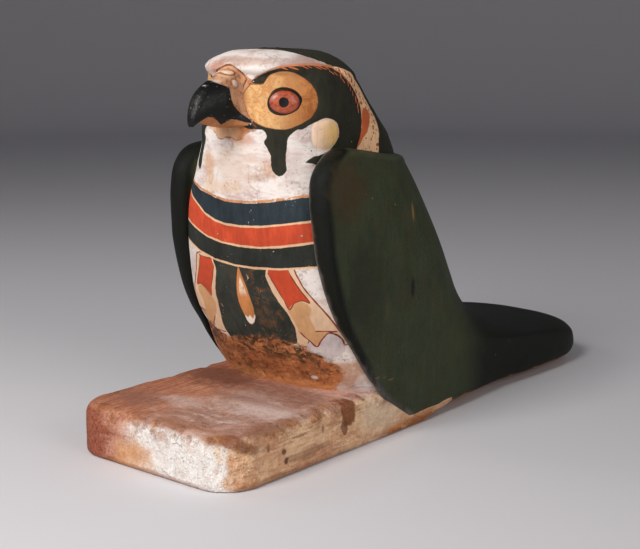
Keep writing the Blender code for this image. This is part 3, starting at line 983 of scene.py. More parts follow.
FACE_STAINS = (
    (-30, -202, 262, 8, 12, 12, 0.55, 0.50, (214, 164, 124), 0.70),
    (10, -206, 287, 17, 12, 6, 0.50, 0.50, (202, 142, 104), 0.70),
    (44, -198, 260, 9, 10, 12, 0.60, 0.50, (200, 144, 106), 0.60),
    (36, -200, 252, 14, 10, 5, 0.65, 0.40, (178, 128, 98), 0.45),
    (8, -204, 262, 26, 14, 18, 0.65, 0.60, (224, 190, 160), 0.40),
    (-20, -206, 240, 40, 14, 7, 0.60, 0.50, (220, 178, 138), 0.50),
    (66, -192, 262, 16, 18, 16, 0.55, 0.50, (190, 166, 158), 0.60),
    (-18, -200, 347, 14, 12, 7, 0.50, 0.50, (186, 124, 96), 0.80),
    (-4, -200, 357, 22, 12, 4, 0.60, 0.50, (180, 138, 120), 0.65),
    (20, -196, 354, 22, 12, 4, 0.60, 0.50, (190, 150, 130), 0.55),
    (58, -164, 352, 24, 30, 7, 0.55, 0.50, (172, 138, 128), 0.80),
    (90, -150, 120, 22, 26, 34, 0.45, 0.45, (236, 216, 190), 0.60),
    (92, -146, 66, 26, 26, 14, 0.55, 0.50, (192, 134, 92), 0.75),
    (-70, -186, 150, 12, 20, 34, 0.40, 0.40, (206, 190, 180), 0.70),
)
colour = lay_torn_patches(colour, FACE_STAINS)
height = object_place()[2]

# Feather pattern below the collar, from the pale ground to the dark bands
below_hem = edge("collar_hem_mm", 0.4)
outer = times(edge("outer_mm"), below_hem)
colour = lay(colour, outer, CREAM, 0.35, 0.2)
colour = lay(colour, times(stroke("outer_mm", 1.1), below_hem), LINE_RED, 0.4, 0.4)
colour = lay(colour, edge("pale_lobe_mm", 1.2, 0.8), paint(206, 192, 190), 0.5, 0.2)
lobe_line = times(stroke("pale_lobe_mm", 1.1, 1.0), between(height, 0.096, 0.1))
colour = lay(colour, lobe_line, paint(112, 52, 38), 0.3, 0.25)
colour = lay(colour, times(edge("low_wedge_mm"), below_hem), TAN, 0.4, 0.2)
colour = lay(colour, stroke("low_wedge_mm", 1.0), LINE_RED)
colour = lay(colour, times(edge("wedge_mm"), below_hem), RED, 0.4, 0.2)
colour = lay(colour, edge("lobe_mm"), TAN, 0.3, 0.1)
colour = lay(colour, times(stroke("wedge_mm", 0.9), below_hem), LINE_RED)
apron = times(edge("apron_mm"), below_hem)
rim = times(edge("apron_mm", grow=2.2), below_hem)
colour = lay(colour, rim, CREAM, 0.3, 0.25)
colour = lay(colour, apron, paint(48, 52, 46), 0.9, 0.36)
wear_and_painted_highlight = between(cloud(10, 7, 0.7, seed=83.0, lean=0.5), 0.47, 0.64)
near_band = times(between(number("round_mm"), 8.0, 30.0, 0.15, 0.95),
                  between(height, 0.12, 0.14, 0.6, 1.0))
colour = blend(times(apron, wear_and_painted_highlight, near_band), colour, paint(116, 78, 50))
leaf = times(edge("leaf_mm", 0.9), below_hem)
colour = lay(colour, leaf, paint(200, 132, 78), 0.6, 0.2)
streak = times(leaf, between(number("leaf_mm"), -5.4, -3.6, 1.0, 0.0),
               between(height, 0.136, 0.146), between(cloud(5, 5, 0.65, seed=97.0), 0.36, 0.5))
colour = lay(colour, streak, paint(236, 216, 194), 0.3, 0.3)
colour = lay(colour, times(stroke("leaf_mm", 0.9, 1.0), below_hem), paint(112, 66, 42), 0.4, 0.35)
colour = lay(colour, edge("leaf_tip_mm", 1.2, 0.8), paint(240, 226, 212), 0.2, 0.1)

# Collar: two dark bands with a red one between them, edged with cream lines
under_top = edge("collar_top_mm", 0.6)
under_upper = edge("collar_upper_mm", 0.5)
under_lower = edge("collar_lower_mm", 0.5)
over_hem = outside(below_hem)
colour = lay(colour, stroke("collar_top_mm", 2.6, 2.0, offset=1.2), paint(200, 140, 98), 0.5, 0.66)
colour = lay(colour, times(under_top, over_hem), BLUE_DARK, 0.9, 0.38)
colour = lay(colour, times(under_lower, over_hem), DARK, 1.0, 0.38)
colour = lay(colour, times(under_upper, outside(under_lower)), RED, 0.7, 0.4)
for name in ("collar_upper_mm", "collar_lower_mm", "collar_hem_mm"):
    colour = lay(colour, stroke(name, 2.1, 1.0, offset=-0.6), paint(226, 184, 146), 0.4, 0.42)

# Face marks: jaw and gape, then the dark mask with its cheek stripe, the disc, nape and ear
jaw_tint = blend(between(number("round_mm"), 4.0, 20.0), paint(222, 176, 136),
                 paint(168, 106, 64))
jaw_paint = use(old_paint, Colour=jaw_tint, Variation=0.6, Losses=0.0)
colour = blend(edge("jaw_mm", 2.0, 2.2), colour, jaw_paint["Colour"])
colour = lay(colour, stroke("jaw_mm", 0.8, 1.4), paint(156, 104, 74), 0.4, 0.62)
colour = lay(colour, edge("cere_skin_mm", 0.4), paint(206, 150, 110), 0.8, 0.45)
ear_tint = lay_torn_patches(paint(246, 214, 188), [(side, -136, 288, 30, 17, 14, 0.35, 0.70,
                                         (255, 206, 134), 1.0) for side in (74, -74)])
ear_paint = use(old_paint, Colour=ear_tint, Variation=0.3, Losses=0.05)
colour = blend(edge("ear_mm", 1.6, 2.4), colour, ear_paint["Colour"])
band = times(between(maths("ABSOLUTE", number("round_mm")), 119.0, 122.0),
             between(height, 0.25, 0.252))
colour = lay(colour, band, paint(252, 204, 158), 0.5, 0.15)
cells = add("TexVoronoi", {"Vector": add("TexCoord").outputs["Object"], "Scale": 270.0})
spots = between(cells.outputs["Distance"], 0.36, 0.5, 1.0, 0.0)
speckled = between(cloud(7, 5, 0.65, seed=95.0), 0.44, 0.56)
colour = blend(times(band, spots, speckled), colour, paint(170, 72, 44))
colour = lay(colour, edge("stripe_mm", 1.4), paint(210, 104, 60), 0.5, 0.3)
colour = lay(colour, edge("mask_mm", 0.7), MASK_BLACK, 0.9, 0.25)
colour = lay(colour, edge("nape_mm", 0.7), MASK_BLACK, 0.9, 0.25)
brow_line = times(stroke("mask_mm", 1.3, 1.6, offset=0.4), between(height, 0.33, 0.334))
colour = lay(colour, brow_line, paint(200, 132, 94), 0.4, 0.55)
disc = edge("disc_mm", 0.5)
deep = plus(number("round_mm"), times(cloud(16, 5, 0.6, seed=85.0), 36.0))
disc_tint = blend(between(deep, 60.0, 108.0), paint(228, 180, 122), paint(162, 94, 44))
# Painted shadow: a brown gradient on the disc along its edge by the raised cere.
painted_shadow_by_cere = times(between(number("round_mm"), 18.0, 27.0, 0.75, 0.0), between(height, 0.296, 0.3),
                between(height, 0.326, 0.332, 1.0, 0.0))
disc_tint = blend(painted_shadow_by_cere, disc_tint, paint(136, 84, 50))
mottle = between(cloud(8, 7, 0.72, seed=86.0, lean=0.6), 0.42, 0.6)
disc_tint = blend(times(mottle, 0.8), disc_tint, paint(198, 132, 78))
dusty = between(cloud(3, 6, 0.7, seed=88.0, lean=0.4), 0.5, 0.68)
disc_tint = blend(times(dusty, 0.45), disc_tint, paint(150, 92, 50))
disc_paint = use(old_paint, Colour=disc_tint, Variation=0.22, Losses=0.0)
colour = blend(disc, colour, disc_paint["Colour"])
disc_line = times(stroke("disc_mm", 0.9, 0.8), between(number("round_mm"), 18.0, 60.0, 1.0, 0.2))
colour = lay(colour, disc_line, paint(140, 80, 46), 0.4, 0.3)
colour = lay(colour, edge("eye_line_mm", 0.4), paint(24, 20, 18), 0.3, 0.05)
colour = lay(colour, edge("horn_mm", 0.5), paint(22, 24, 22), 0.4, 0.06)
for name in ("gape_mm", "cere_mm"):
    line = use(hand_drawn_edge, Distance=minus(number(name), 0.75), Wander=0.5,
               Softness=0.5)["Mask"]
    colour = lay(colour, line, paint(116, 64, 40), 0.4, 0.15)

# The foot of the belly, rubbed down to the wood with a paler rim along the plinth
remains = times(between(cloud(11, 6, 0.66, seed=87.0, lean=0.6), 0.47, 0.56),
                between(height, 0.066, 0.09, 0.12, 0.9))
low_wood = blend(remains, wood["Colour"], paint(56, 48, 34))
pale_foot = between(scaled(cloud(9, 4, 0.6, seed=89.0), 0.022, height), 0.062, 0.07, 0.85, 0.0)
low_wood = blend(pale_foot, low_wood, paint(222, 156, 102))
worn = edge("worn_mm", 7.0, 3.0)
colour = blend(worn, colour, low_wood)
colour = lay_torn_patches(colour, [(52, -146, 61, 4, 8, 2.6, 0.9, 0.3, (236, 220, 208), 0.9)])
link(colour, shader["Base Color"])
link(skin["Roughness"], shader["Roughness"])
relief = plus(times(skin["Height"], 0.75), times(wood["Height"], worn))
link(bump(relief, 0.8), shader["Normal"])
finish_piece(body, face_finish)


# Brush strokes along the brow: short slanted touches of thick orange-red paint laid one by one
# across the upper border of the dark mask, on both sides of the head.
BROW_PATH = (
    (62, 348), (78, 349), (92, 349), (105, 348.5), (117, 346), (126, 341), (134, 335),
    (141, 328), (147, 320), (151, 311), (153, 303),
)
STROKE_SPACING = 5.6
STROKE_LENGTH = 3.7
STROKE_WIDTH = 0.62
STROKE_THICKNESS = 0.35
STROKE_SLANT = math.radians(34)
STROKE_SIZES = (0.6, 1.35)
STROKE_STRAY = 0.7


def brush_stroke_tree():
    """Flattened blobs, one on each point, turned to lie on the head and to lean."""
    tree, take, give = small_things_tree("brush_strokes", ("Length", "Width", "Thickness"))
    blob = form("MeshIcoSphere", {"Radius": 1.0, "Subdivisions": 2})[0]
    size = add("CombineXYZ", {0: take["Length"], 1: take["Width"], 2: take["Thickness"]})
    shaped = form("Transform", {"Geometry": blob, "Scale": size.outputs[0]})[0]
    out, lean = (form("InputNamedAttribute", {"Name": name}, data_type="FLOAT_VECTOR")[0]
                 for name in ("out", "lean"))
    turned = add("FunctionNodeAlignRotationToVector", {"Vector": out}, axis="Z").outputs[0]
    turned = add("FunctionNodeAlignRotationToVector", {"Rotation": turned, "Vector": lean},
                 axis="X", pivot_axis="Z").outputs[0]
    points = form("MeshToPoints", {"Mesh": take["Geometry"]})[0]
    size = chance_size(take, *STROKE_SIZES)
    placed = form("InstanceOnPoints", {"Points": points, "Instance": shaped, "Rotation": turned,
                                       "Scale": size})[0]
    finish_small_things(take, give, placed)
    return tree


surface = millimetres(body)
outward = normals(body)
body_chart = unroll(surface)
brow_length = np.linalg.norm(np.diff(BROW_PATH, axis=0), axis=1).sum()
path = even_along(BROW_PATH, round(brow_length / STROKE_SPACING))
spots, ways, tilts = [], [], []
for side in (1, -1):
    for step, (here, there) in enumerate(zip(path, path[1:])):
        spot = here * (side, 1) + (0, STROKE_STRAY * math.sin(step * 2.4))
        vertex = np.argmin(((body_chart - spot) ** 2).sum(axis=1))
        ahead = np.argmin(((body_chart - there * (side, 1)) ** 2).sum(axis=1))
        out = Vector(outward[vertex])
        along = Vector(surface[ahead] - surface[vertex]).normalized()
        down = along.cross(out) * side
        lean = along * math.cos(STROKE_SLANT) + down * math.sin(STROKE_SLANT)
        spots.append(surface[vertex])
        ways.append(out)
        tilts.append(lean)
mesh = bpy.data.meshes.new("brow_strokes")
mesh.from_pydata(metres(spots).tolist(), [], [])
for name, vectors in (("out", ways), ("lean", tilts)):
    mesh.attributes.new(name, "FLOAT_VECTOR", "POINT").data.foreach_set(
        "vector", np.array(vectors, np.float32).ravel())
brow_strokes = put("brow_strokes", mesh)

stroke_finish, shader = new_material("orange_red_paint_of_the_brow")
coat = use(old_paint, Colour=paint(206, 104, 62), Variation=0.5, Losses=0.0)
link(coat["Colour"], shader["Base Color"])
shader["Roughness"].default_value = 0.6
grow_from(brow_strokes, brush_stroke_tree(), Length=STROKE_LENGTH / 1000,
          Width=STROKE_WIDTH / 1000, Thickness=STROKE_THICKNESS / 1000, Seed=4,
          Finish=stroke_finish)
finish_piece(brow_strokes)


# Folded wings, back and tail: one mantle round the sides and back, whose rounded rim stands
# proud of the breast. The wood is evenly gessoed and painted a dull dark green. Rows give height,
# half-width, crease across and along, how far the rim stands, back line, depth and fullness.
MANTLE_LINES = (
    (9, 98.5, 95, -53, 0.6, 319, 106, 3.0),
    (12, 100.5, 97, -58, 0.8, 323, 110, 3.0),
    (20, 102, 98, -70, 1.0, 326, 114, 3.0),
    (30, 102, 98, -86, 1.0, 325, 115, 2.9),
    (40, 102, 98, -101, 1.0, 317, 118, 2.7),
    (50, 102, 97, -110, 1.0, 290, 122, 2.4),
    (56, 102, 97, -115, 1.0, 250, 132, 2.1),
    (63, 102, 96, -121, 1.2, 213, 132, 1.9),
    (71, 102, 95, -127, 1.3, 181, 132, 1.8),
    (81, 102, 94, -134, 1.4, 150, 126, 1.8),
    (94, 102, 92, -142, 1.6, 123, 116, 1.8),
    (115, 102, 89, -156, 2.0, 101, 112, 1.8),
    (140, 102, 85.5, -167, 2.6, 84, 106, 1.8),
    (165, 102, 82, -174, 3.4, 69, 104, 1.8),
    (190, 101.5, 79, -178, 5.0, 53, 102, 1.8),
    (220, 100.5, 76, -178, 8.0, 33, 104, 1.85),
    (240, 99.5, 74, -176, 10.0, 18, 106, 1.9),
    (255, 99, 73, -171, 11.5, 6, 106, 1.9),
    (262, 99, 73, -166, 11.5, 0, 104, 1.9),
    (268, 98.5, 73, -160, 11.0, -48, 76, 2.0),
    (272, 97, 72, -154, 10.0, -76, 58, 2.0),
    (274.5, 93, 71, -148, 8.0, -96, 40, 2.0),
    (276, 86, 69, -142, 5.0, -108, 26, 2.0),
    (276.5, 75, 67, -138, 1.0, -114, 18, 2.0),
)
MANTLE_GRAIN = 2.4
RIM_COLUMNS = 16
FLANK_COLUMNS = 56
BACK_COLUMNS = 76
HIDDEN_SET_BACK = 16.0
HIDDEN_HALF_SHARE = 0.7
RIM_ROOT = 2.0
RIM_FULLNESS = 2.8
WAIST_PLACE = 105.0
WAIST_REACH = 55.0
WAIST_DEPTH = 0.065
WAIST_TOP = 70.0
MANTLE_SUNK = 0.45


def mantle_ring(line, height):
    """Half a level ring: the hidden inside, the round rim, the flank and the back."""
    half, crease_x, crease_y, proud, back, back_depth, fullness = line
    hidden = crease_y + HIDDEN_SET_BACK
    inside = [(0.0, hidden), (crease_x * HIDDEN_HALF_SHARE, hidden)]
    turn = np.linspace(math.pi, 0, 60)
    lift = np.where(turn < math.pi / 2, np.sin(turn) ** (2 / RIM_FULLNESS), np.sin(turn))
    lift = np.abs(lift)
    root = crease_y + RIM_ROOT
    rim = np.stack([(half + crease_x) / 2 + (half - crease_x) / 2 * np.cos(turn),
                    root - (proud + RIM_ROOT) * lift], axis=1)
    shoulder = back - back_depth
    flank = np.array([(half, root), (half, shoulder)])
    across, deep = quarter(half, back_depth, fullness)
    behind = np.stack([across, back - deep], axis=1)[::-1]
    ring = np.concatenate([inside, even_along(rim, RIM_COLUMNS),
                           even_along(flank, FLANK_COLUMNS)[1:],
                           even_along(behind, BACK_COLUMNS)[1:]])
    if height < WAIST_TOP:
        depth = WAIST_DEPTH * np.exp(-(((ring[:, 1] - WAIST_PLACE) / WAIST_REACH) ** 2))
        ring[:, 0] *= 1 - depth * (1 - height / WAIST_TOP)
    return ring


heights = row_heights(MANTLE_LINES, MANTLE_GRAIN)
rings = [both_sides(mantle_ring(line, height), height)
         for height, line in zip(heights, smooth_lines(MANTLE_LINES, heights))]
mantle = skin_over("wings_and_tail", np.array(rings))
places = millimetres(mantle)
relief = 0.55 * rough(places, 60, 21) + 0.16 * rough(places, 16, 22) - MANTLE_SUNK
raise_surface(mantle, relief)
rim_line = smooth_lines(MANTLE_LINES, np.clip(places[:, 2], heights[0], heights[-1]))
keep(mantle, rim_mm=places[:, 1] - (rim_line[:, 2] - rim_line[:, 3]),
     crease_mm=np.abs(places[:, 0]) - rim_line[:, 1])

wing_finish, shader = new_material("dark_green_paint_of_the_wings", 0.16)
wood = use(bare_wood, Light=paint(212, 142, 84), Dark=paint(150, 88, 50), Pitting=0.3)
coat = use(old_paint, Colour=paint(56, 63, 43), Variation=0.7, Losses=0.1)
colour = blend(coat["Cover"], paint(150, 120, 90), coat["Colour"])
blotches = between(cloud(30, 6, 0.65, seed=60.0, lean=0.8), 0.46, 0.66)
colour = blend(times(blotches, 0.4), colour, paint(66, 54, 34))
streaks = between(cloud(5, 5, 0.62, stretch=(1, 1.4, 7), seed=61.0), 0.56, 0.74)
colour = blend(times(streaks, 0.4), colour, paint(96, 72, 44))
grain = between(cloud(1.6, 4, 0.65, seed=62.0), 0.35, 0.65)
colour = blend(times(grain, 0.35), colour, paint(76, 84, 60))
place = object_place()
# Painted shade: towards the tail the green is blended to near black, standing in for the body's
# shadow over the tail.
painted_tail_shade = between(place[1], 0.015, 0.08)
colour = blend(times(painted_tail_shade, 0.9), colour, paint(9, 12, 9))
flecks = specks(120.0, 0.93, 0.07, 0.12)
colour = blend(times(flecks, 0.6), colour, paint(168, 138, 96))
# Nearly black on the front faces of both rims: black paint on the rim, and painted shade in the
# dark band behind its lit edge.
rim = between(number("rim_mm"), 5.0, 14.0, 1.0, 0.0)
colour = blend(times(rim, 0.94), colour, paint(11, 14, 12))
# Grey along the near rim's edge by the breast, on the near side only: paint rubbed from the edge,
# and a painted highlight of the lit edge.
near_side = between(place[0], 0.0, 0.02)
wear_and_painted_highlight = scaled(cloud(12, 5, 0.6, seed=65.0), 10.0, number("crease_mm"))
wear_and_painted_highlight = times(between(wear_and_painted_highlight, 5.0, 14.0, 1.0, 0.0), near_side, rim)
colour = blend(times(wear_and_painted_highlight, 0.8), colour, paint(122, 116, 110))
WING_MARKS = (
    (101, -56, 213, 8, 2.2, 8, 0.20, 0.5, (150, 112, 64), 0.75),
    (102, -57, 140, 8, 3.0, 9, 0.25, 0.5, (22, 24, 18), 0.80),
    (102, -112, 62, 8, 3.0, 0.7, 0.6, 0.4, (142, 114, 76), 0.45),
    (102, -101, 60, 8, 2.2, 0.7, 0.6, 0.4, (142, 114, 76), 0.40),
    (102, -90, 56, 8, 4.0, 0.8, 0.6, 0.4, (142, 114, 76), 0.45),
    (100, -152, 240, 10, 22, 26, 0.45, 0.5, (78, 54, 34), 0.60),
    (102, -128, 150, 10, 26, 40, 0.45, 0.5, (44, 46, 34), 0.60),
)
colour = lay_torn_patches(colour, WING_MARKS)
foot = scaled(cloud(20, 5, 0.6, seed=67.0), 0.010, place[2])
bare_foot = times(between(foot, 0.0150, 0.0168, 1.0, 0.0),
                  between(place[1], 0.04, 0.12, 1.0, 0.65))
colour = blend(bare_foot, colour, wood["Colour"])
link(colour, shader["Base Color"])
link(between(coat["Height"], 0.2, 0.5, 0.5, 0.64), shader["Roughness"])
link(bump(scaled(grain, 0.3, coat["Height"]), 0.6), shader["Normal"])
finish_piece(mantle, wing_finish)


# The beak: a hooked bill carved with the head. Its cere, with the nostrils and a knob over each
# corner, is tan; the horn is thick shining black paint, chipped along its border; the lower jaw
# is ochre under a scalloped cutting edge.
BEAK_LINES = (
    (-178, 350, 292, 25),
    (-195, 349.5, 293, 24.5),
    (-206, 347, 294, 20.5),
    (-214, 343, 294.7, 17.5),
    (-220, 339, 295.5, 15.5),
    (-230, 334, 298, 12.5),
    (-238, 328.5, 300, 9.5),
    (-244.5, 320, 300, 6.5),
    (-248.5, 309, 297.5, 3.5),
)
BEAK_TIP = (0.0, -250.5, 299.0)
BEAK_COLUMNS = 140
BEAK_GRAIN = 0.7
GAPE_PROFILE = (
    (0.0, 0.0), (0.03, 0.7), (0.07, 1.0), (0.12, 1.0), (0.24, 0.86), (0.38, 0.72), (0.54, 0.62),
    (0.70, 0.57), (0.88, 0.45), (0.96, 0.28), (1.0, 0.0),
)
HORN_REAR = (
    (288, -174), (296, -186), (300, -193), (304, -199), (308, -204), (312, -208),
    (316, -211.5), (321, -214.5), (331, -214.5), (333, -219), (335, -223), (350, -224),
)
CUTTING_EDGE = (
    (-252, 296), (-247, 298), (-244, 301), (-242, 302.5), (-239, 304.5), (-236, 306),
    (-232, 306), (-229, 305), (-225, 302), (-220.5, 298.5), (-218, 300), (-216, 302),
    (-213, 303), (-207, 302.5), (-201, 300), (-192, 297), (-180, 292),
)
NOSTRIL = (-207.0, 344.2)
NOSTRIL_REACH = (4.6, 1.9)
KNOB = (-206.5, 334.5)
KNOB_REACH = 3.4
KNOB_RISE = 1.5
KNOB_GROOVE = 0.5
HORN_THICKNESS = 0.9
JAW_SET_BACK = 1.0
BITE_GROOVE = 0.7
NOSTRIL_SWELL = 0.5
NOSTRIL_GROOVE = 0.7

flipped = tuple((-place, top, bottom, half) for place, top, bottom, half in BEAK_LINES)
stations = row_heights(flipped, BEAK_GRAIN)
turn = np.linspace(0, 2 * math.pi, BEAK_COLUMNS, endpoint=False)
profile_height, profile_half = np.array(GAPE_PROFILE).T
rings = []
for station, (top, bottom, half) in zip(stations, smooth_lines(flipped, stations)):
    share = (1 + np.cos(turn)) / 2
    at_gape = np.interp(share, profile_height, profile_half) * np.sign(np.sin(turn))
    widening = float(1 - ease(station, 196, 222))
    rings.append(np.column_stack([
        half * ((1 - widening) * np.sin(turn) + widening * at_gape),
        np.full(BEAK_COLUMNS, -station), bottom + (top - bottom) * share]))
beak = skin_over("beak", np.array(rings), BEAK_TIP)
places = millimetres(beak)
rear_z, rear_y = np.array(HORN_REAR, float).T
cut_y, cut_z = np.array(CUTTING_EDGE, float).T
behind_horn = places[:, 1] - np.interp(places[:, 2], rear_z, rear_y)
under_edge = np.interp(places[:, 1], cut_y, cut_z) - places[:, 2]
horn = np.maximum(behind_horn, under_edge)
nostril = np.hypot((places[:, 1] - NOSTRIL[0]) / NOSTRIL_REACH[0],
                   (places[:, 2] - NOSTRIL[1]) / NOSTRIL_REACH[1])
knob = np.hypot(places[:, 1] - KNOB[0], places[:, 2] - KNOB[1])
keep(beak, horn_mm=horn, jaw_mm=-under_edge, nostril=nostril, knob_mm=knob)
relief = HORN_THICKNESS * (1 - ease(horn, -1.2, 0.3)) - JAW_SET_BACK * ease(under_edge, 0.0, 1.5)
relief -= BITE_GROOVE * near(under_edge, 0.3, 1.4) * ease(-places[:, 1], 180, 190)
relief += NOSTRIL_SWELL * (1 - ease(nostril, 0.5, 1.0))
relief -= NOSTRIL_GROOVE * near(nostril - 1.25, 0.1, 0.3)
relief += KNOB_RISE * np.sqrt(np.clip(1 - (knob / KNOB_REACH) ** 2, 0, 1))
relief -= KNOB_GROOVE * near(knob - KNOB_REACH - 0.6, 0.2, 0.9)
relief += 0.16 * rough(places, 9, 31) + 0.1 * rough(places, 3, 32)
raise_surface(beak, relief)

beak_finish, shader = new_material("black_horn_paint_and_ochre_jaw", 0.3)
skin = use(gesso, White=paint(218, 172, 136), Stain=paint(170, 112, 76), Bloom=0.6, Staining=0.8,
           Grime=0.7)
colour = skin["Colour"]
colour = lay(colour, edge("jaw_mm", 0.6, 0.5), paint(184, 122, 76), 0.7, 0.1)
outline = minus(maths("ABSOLUTE", minus(number("nostril"), 1.2)), 0.16)
colour = blend(between(outline, 0.0, 0.12, 0.8, 0.0), colour, paint(128, 74, 48))
colour = blend(between(number("nostril"), 0.75, 1.0, 0.9, 0.0), colour, paint(238, 206, 180))
colour = blend(between(number("knob_mm"), 2.4, 3.4, 0.8, 0.0), colour, paint(208, 184, 172))
ring = maths("ABSOLUTE", minus(number("knob_mm"), 4.0))
colour = blend(between(ring, 0.3, 0.8, 0.5, 0.0), colour, paint(134, 82, 54))
horn_mask = edge("horn_mm", 1.4, 0.5)
chips = use(old_paint, Colour=paint(12, 14, 13), Variation=0.5, Losses=0.35)
horn_mask = times(horn_mask, chips["Cover"])
colour = blend(horn_mask, colour, chips["Colour"])
BEAK_CHIPS = (
    (3, -234, 334, 5, 1.8, 1.1, 0.5, 0.3, (206, 196, 190), 0.8),
    (10, -222, 337, 9, 3.4, 1.4, 0.65, 0.3, (206, 186, 170), 0.9),
    (-10, -222, 337, 9, 3.4, 1.4, 0.65, 0.3, (206, 186, 170), 0.9),
)
colour = lay_torn_patches(colour, BEAK_CHIPS)
dust = specks(420.0, 0.6, 0.12, 0.22, 0.02)
colour = blend(times(dust, 0.55), colour, paint(150, 150, 148))
link(colour, shader["Base Color"])
matt = scaled(cloud(5, 6, 0.7, seed=91.0), 0.5, 0.2)
roughness = add("Mix", {0: horn_mask, 2: 0.7, 3: matt}, data_type="FLOAT").outputs[0]
link(roughness, shader["Roughness"])
link(bump(scaled(dust, 0.4, skin["Height"]), 0.5), shader["Normal"])
finish_piece(beak, beak_finish)


# The eyes: two almond swellings on the cheeks, painted and varnished: black rims and pupils
# round an orange-red iris, set in the ochre discs of the face.
EYE_CENTRE = (47.9, -179.3, 317.5)
EYE_RADIUS = 16.0
EYE_HIGH = 0.81
EYE_THICKNESS = 0.44
EYE_TURN = math.radians(50)
EYE_RINGS = 72
EYE_SPOKES = 110
IRIS_MIDDLE = (-1.3, 1.2)
IRIS_REACH = (13.2, 9.9)
PUPIL_MIDDLE = (-2.2, 1.1)
PUPIL_RADIUS = 4.5


def model_eye(name, side):
    """Flattened ball whose rings run round the line of sight."""
    tilt = np.linspace(0, math.pi, EYE_RINGS + 1)[1:-1]
    turn = np.linspace(0, 2 * math.pi, EYE_SPOKES, endpoint=False)
    wide = EYE_RADIUS * np.outer(np.sin(tilt), np.cos(turn))
    high = EYE_RADIUS * EYE_HIGH * np.outer(np.sin(tilt), np.sin(turn))
    deep = EYE_RADIUS * EYE_THICKNESS * np.outer(np.cos(tilt), np.ones(EYE_SPOKES))
    cos, sin = math.cos(EYE_TURN), math.sin(EYE_TURN)
    x, y, z = EYE_CENTRE

    def place(across, forward, up):
        return np.stack([side * (x + across * cos + forward * sin),
                         y + across * sin - forward * cos, z + up], axis=-1)

    eye = skin_over(name, place(wide, -deep, high), place(0.0, EYE_RADIUS * EYE_THICKNESS, 0.0))
    across = np.append(wide.ravel(), 0.0)
    up = np.append(high.ravel(), 0.0)
    keep(eye, iris=np.hypot((across - IRIS_MIDDLE[0]) / IRIS_REACH[0],
                            (up - IRIS_MIDDLE[1]) / IRIS_REACH[1]),
         pupil_mm=np.hypot(across - PUPIL_MIDDLE[0], up - PUPIL_MIDDLE[1]))
    return eye


eye_finish, shader = new_material("varnished_paint_of_the_eyes", 0.5)
wobble = times(minus(cloud(5, 3, 0.5), 0.5), 0.07)
iris = blend(between(cloud(3.5, 6, 0.65, seed=71.0), 0.38, 0.66), paint(192, 96, 60),
             paint(154, 62, 38))
iris = blend(between(number("iris"), 0.7, 1.0, 0.0, 0.5), iris, paint(122, 44, 30))
pupil = scaled(wobble, 12.0, number("pupil_mm"))
colour = blend(between(pupil, PUPIL_RADIUS - 0.3, PUPIL_RADIUS + 0.3, 1.0, 0.0), iris,
               paint(14, 14, 14))
black = between(plus(number("iris"), wobble), 0.98, 1.03)
colour = blend(black, colour, paint(22, 18, 16))
link(colour, shader["Base Color"])
link(between(cloud(6, 4, 0.6, seed=73.0), 0.3, 0.7, 0.22, 0.45), shader["Roughness"])
link(bump(cloud(2.2, 4, 0.6, seed=75.0), 0.25), shader["Normal"])
for name, side in (("left_eye", 1), ("right_eye", -1)):
    finish_piece(model_eye(name, side), eye_finish)


# Floor, lights and camera of the studio: the pale floor sweeps up into a round wall, and four
# soft boxes light the figure. Lengths here are in metres.
COVE_RADIUS = 3.6
COVE_BEND = 1.2
COVE_HEIGHT = 3.4
COVE_SIDES = 96

cove_wall = COVE_RADIUS + COVE_BEND
rise = [(COVE_RADIUS * step / 8, 0.0) for step in range(1, 9)]
rise += [(COVE_RADIUS + COVE_BEND * math.sin(math.radians(angle)),
          COVE_BEND * (1 - math.cos(math.radians(angle)))) for angle in range(5, 91, 5)]
rise += [(cove_wall, COVE_BEND + 0.5 * COVE_HEIGHT), (cove_wall, COVE_HEIGHT)]
corners = [(0.0, 0.0, 0.0)]
for reach, up in rise:
    corners += [(reach * math.cos(2 * math.pi * i / COVE_SIDES),
                 reach * math.sin(2 * math.pi * i / COVE_SIDES), up) for i in range(COVE_SIDES)]
faces = [(0, 1 + i, 1 + (i + 1) % COVE_SIDES) for i in range(COVE_SIDES)]
for row in range(len(rise) - 1):
    low = 1 + row * COVE_SIDES
    faces += [(low + i, low + COVE_SIDES + i, low + COVE_SIDES + (i + 1) % COVE_SIDES,
               low + (i + 1) % COVE_SIDES) for i in range(COVE_SIDES)]
mesh = bpy.data.meshes.new("studio_floor")
mesh.from_pydata(corners, [], faces)
floor = put("studio_floor", mesh)
floor_finish, shader = new_material("pale_floor", 0.1)
shader["Base Color"].default_value = paint(222, 220, 224)
shader["Roughness"].default_value = 0.85
mesh.materials.append(floor_finish)
mesh.shade_smooth()

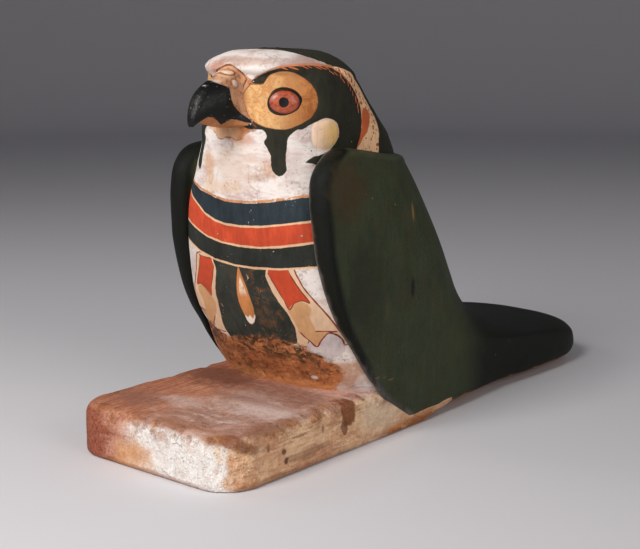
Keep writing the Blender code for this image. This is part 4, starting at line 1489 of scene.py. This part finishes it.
SKY_TINT = (0.74, 0.77, 0.84, 1.0)
SKY_STRENGTH = 0.08
LIT_PLACE = (0.0, -0.06, 0.16)
LIGHTS = (
    ("key_light", 2, 36, 1.7, 0.8, 24, (1.0, 0.975, 0.945)),
    ("fill_light", 80, 20, 2.4, 1.2, 13, (1.0, 0.98, 0.95)),
    ("edge_light", -60, 30, 2.0, 0.6, 3, (1.0, 1.0, 1.0)),
    ("back_light", 170, 40, 2.4, 1.0, 2, (1.0, 1.0, 1.0)),
)
VIEW_AZIMUTH = 39.75
VIEW_ELEVATION = 10.8
VIEW_DISTANCE = 1.213
VIEW_TARGET = (0.0259, -0.1113, 0.150)
PHOTO_WIDTH_PIXELS = 640
FOCAL_LENGTH_PIXELS = 1260
SENSOR_WIDTH = 36.0

world = bpy.data.worlds.new("studio")
world.use_nodes = True
sky = world.node_tree.nodes["Background"].inputs
sky["Color"].default_value = SKY_TINT
sky["Strength"].default_value = SKY_STRENGTH
bpy.context.scene.world = world


def hang(name, data, target, azimuth, elevation, distance):
    """A lamp or camera aimed at a place on the figure; azimuth 0 is in front of the bird."""
    turn, rise = math.radians(azimuth), math.radians(elevation)
    away = Vector((math.sin(turn) * math.cos(rise), -math.cos(turn) * math.cos(rise),
                   math.sin(rise)))
    holder = put(name, data)
    holder.location = Vector(target) + away * distance
    holder.rotation_euler = away.to_track_quat("Z", "Y").to_euler()
    return holder


for name, azimuth, elevation, distance, size, power, tint in LIGHTS:
    lamp = bpy.data.lights.new(name, "AREA")
    lamp.size = size
    lamp.energy = power
    lamp.color = tint
    hang(name, lamp, LIT_PLACE, azimuth, elevation, distance)

lens = bpy.data.cameras.new("camera")
lens.sensor_width = SENSOR_WIDTH
lens.lens = FOCAL_LENGTH_PIXELS / PHOTO_WIDTH_PIXELS * SENSOR_WIDTH
bpy.context.scene.camera = hang("camera", lens, VIEW_TARGET, VIEW_AZIMUTH, VIEW_ELEVATION,
                                VIEW_DISTANCE)
bpy.context.scene.view_settings.view_transform = "Standard"
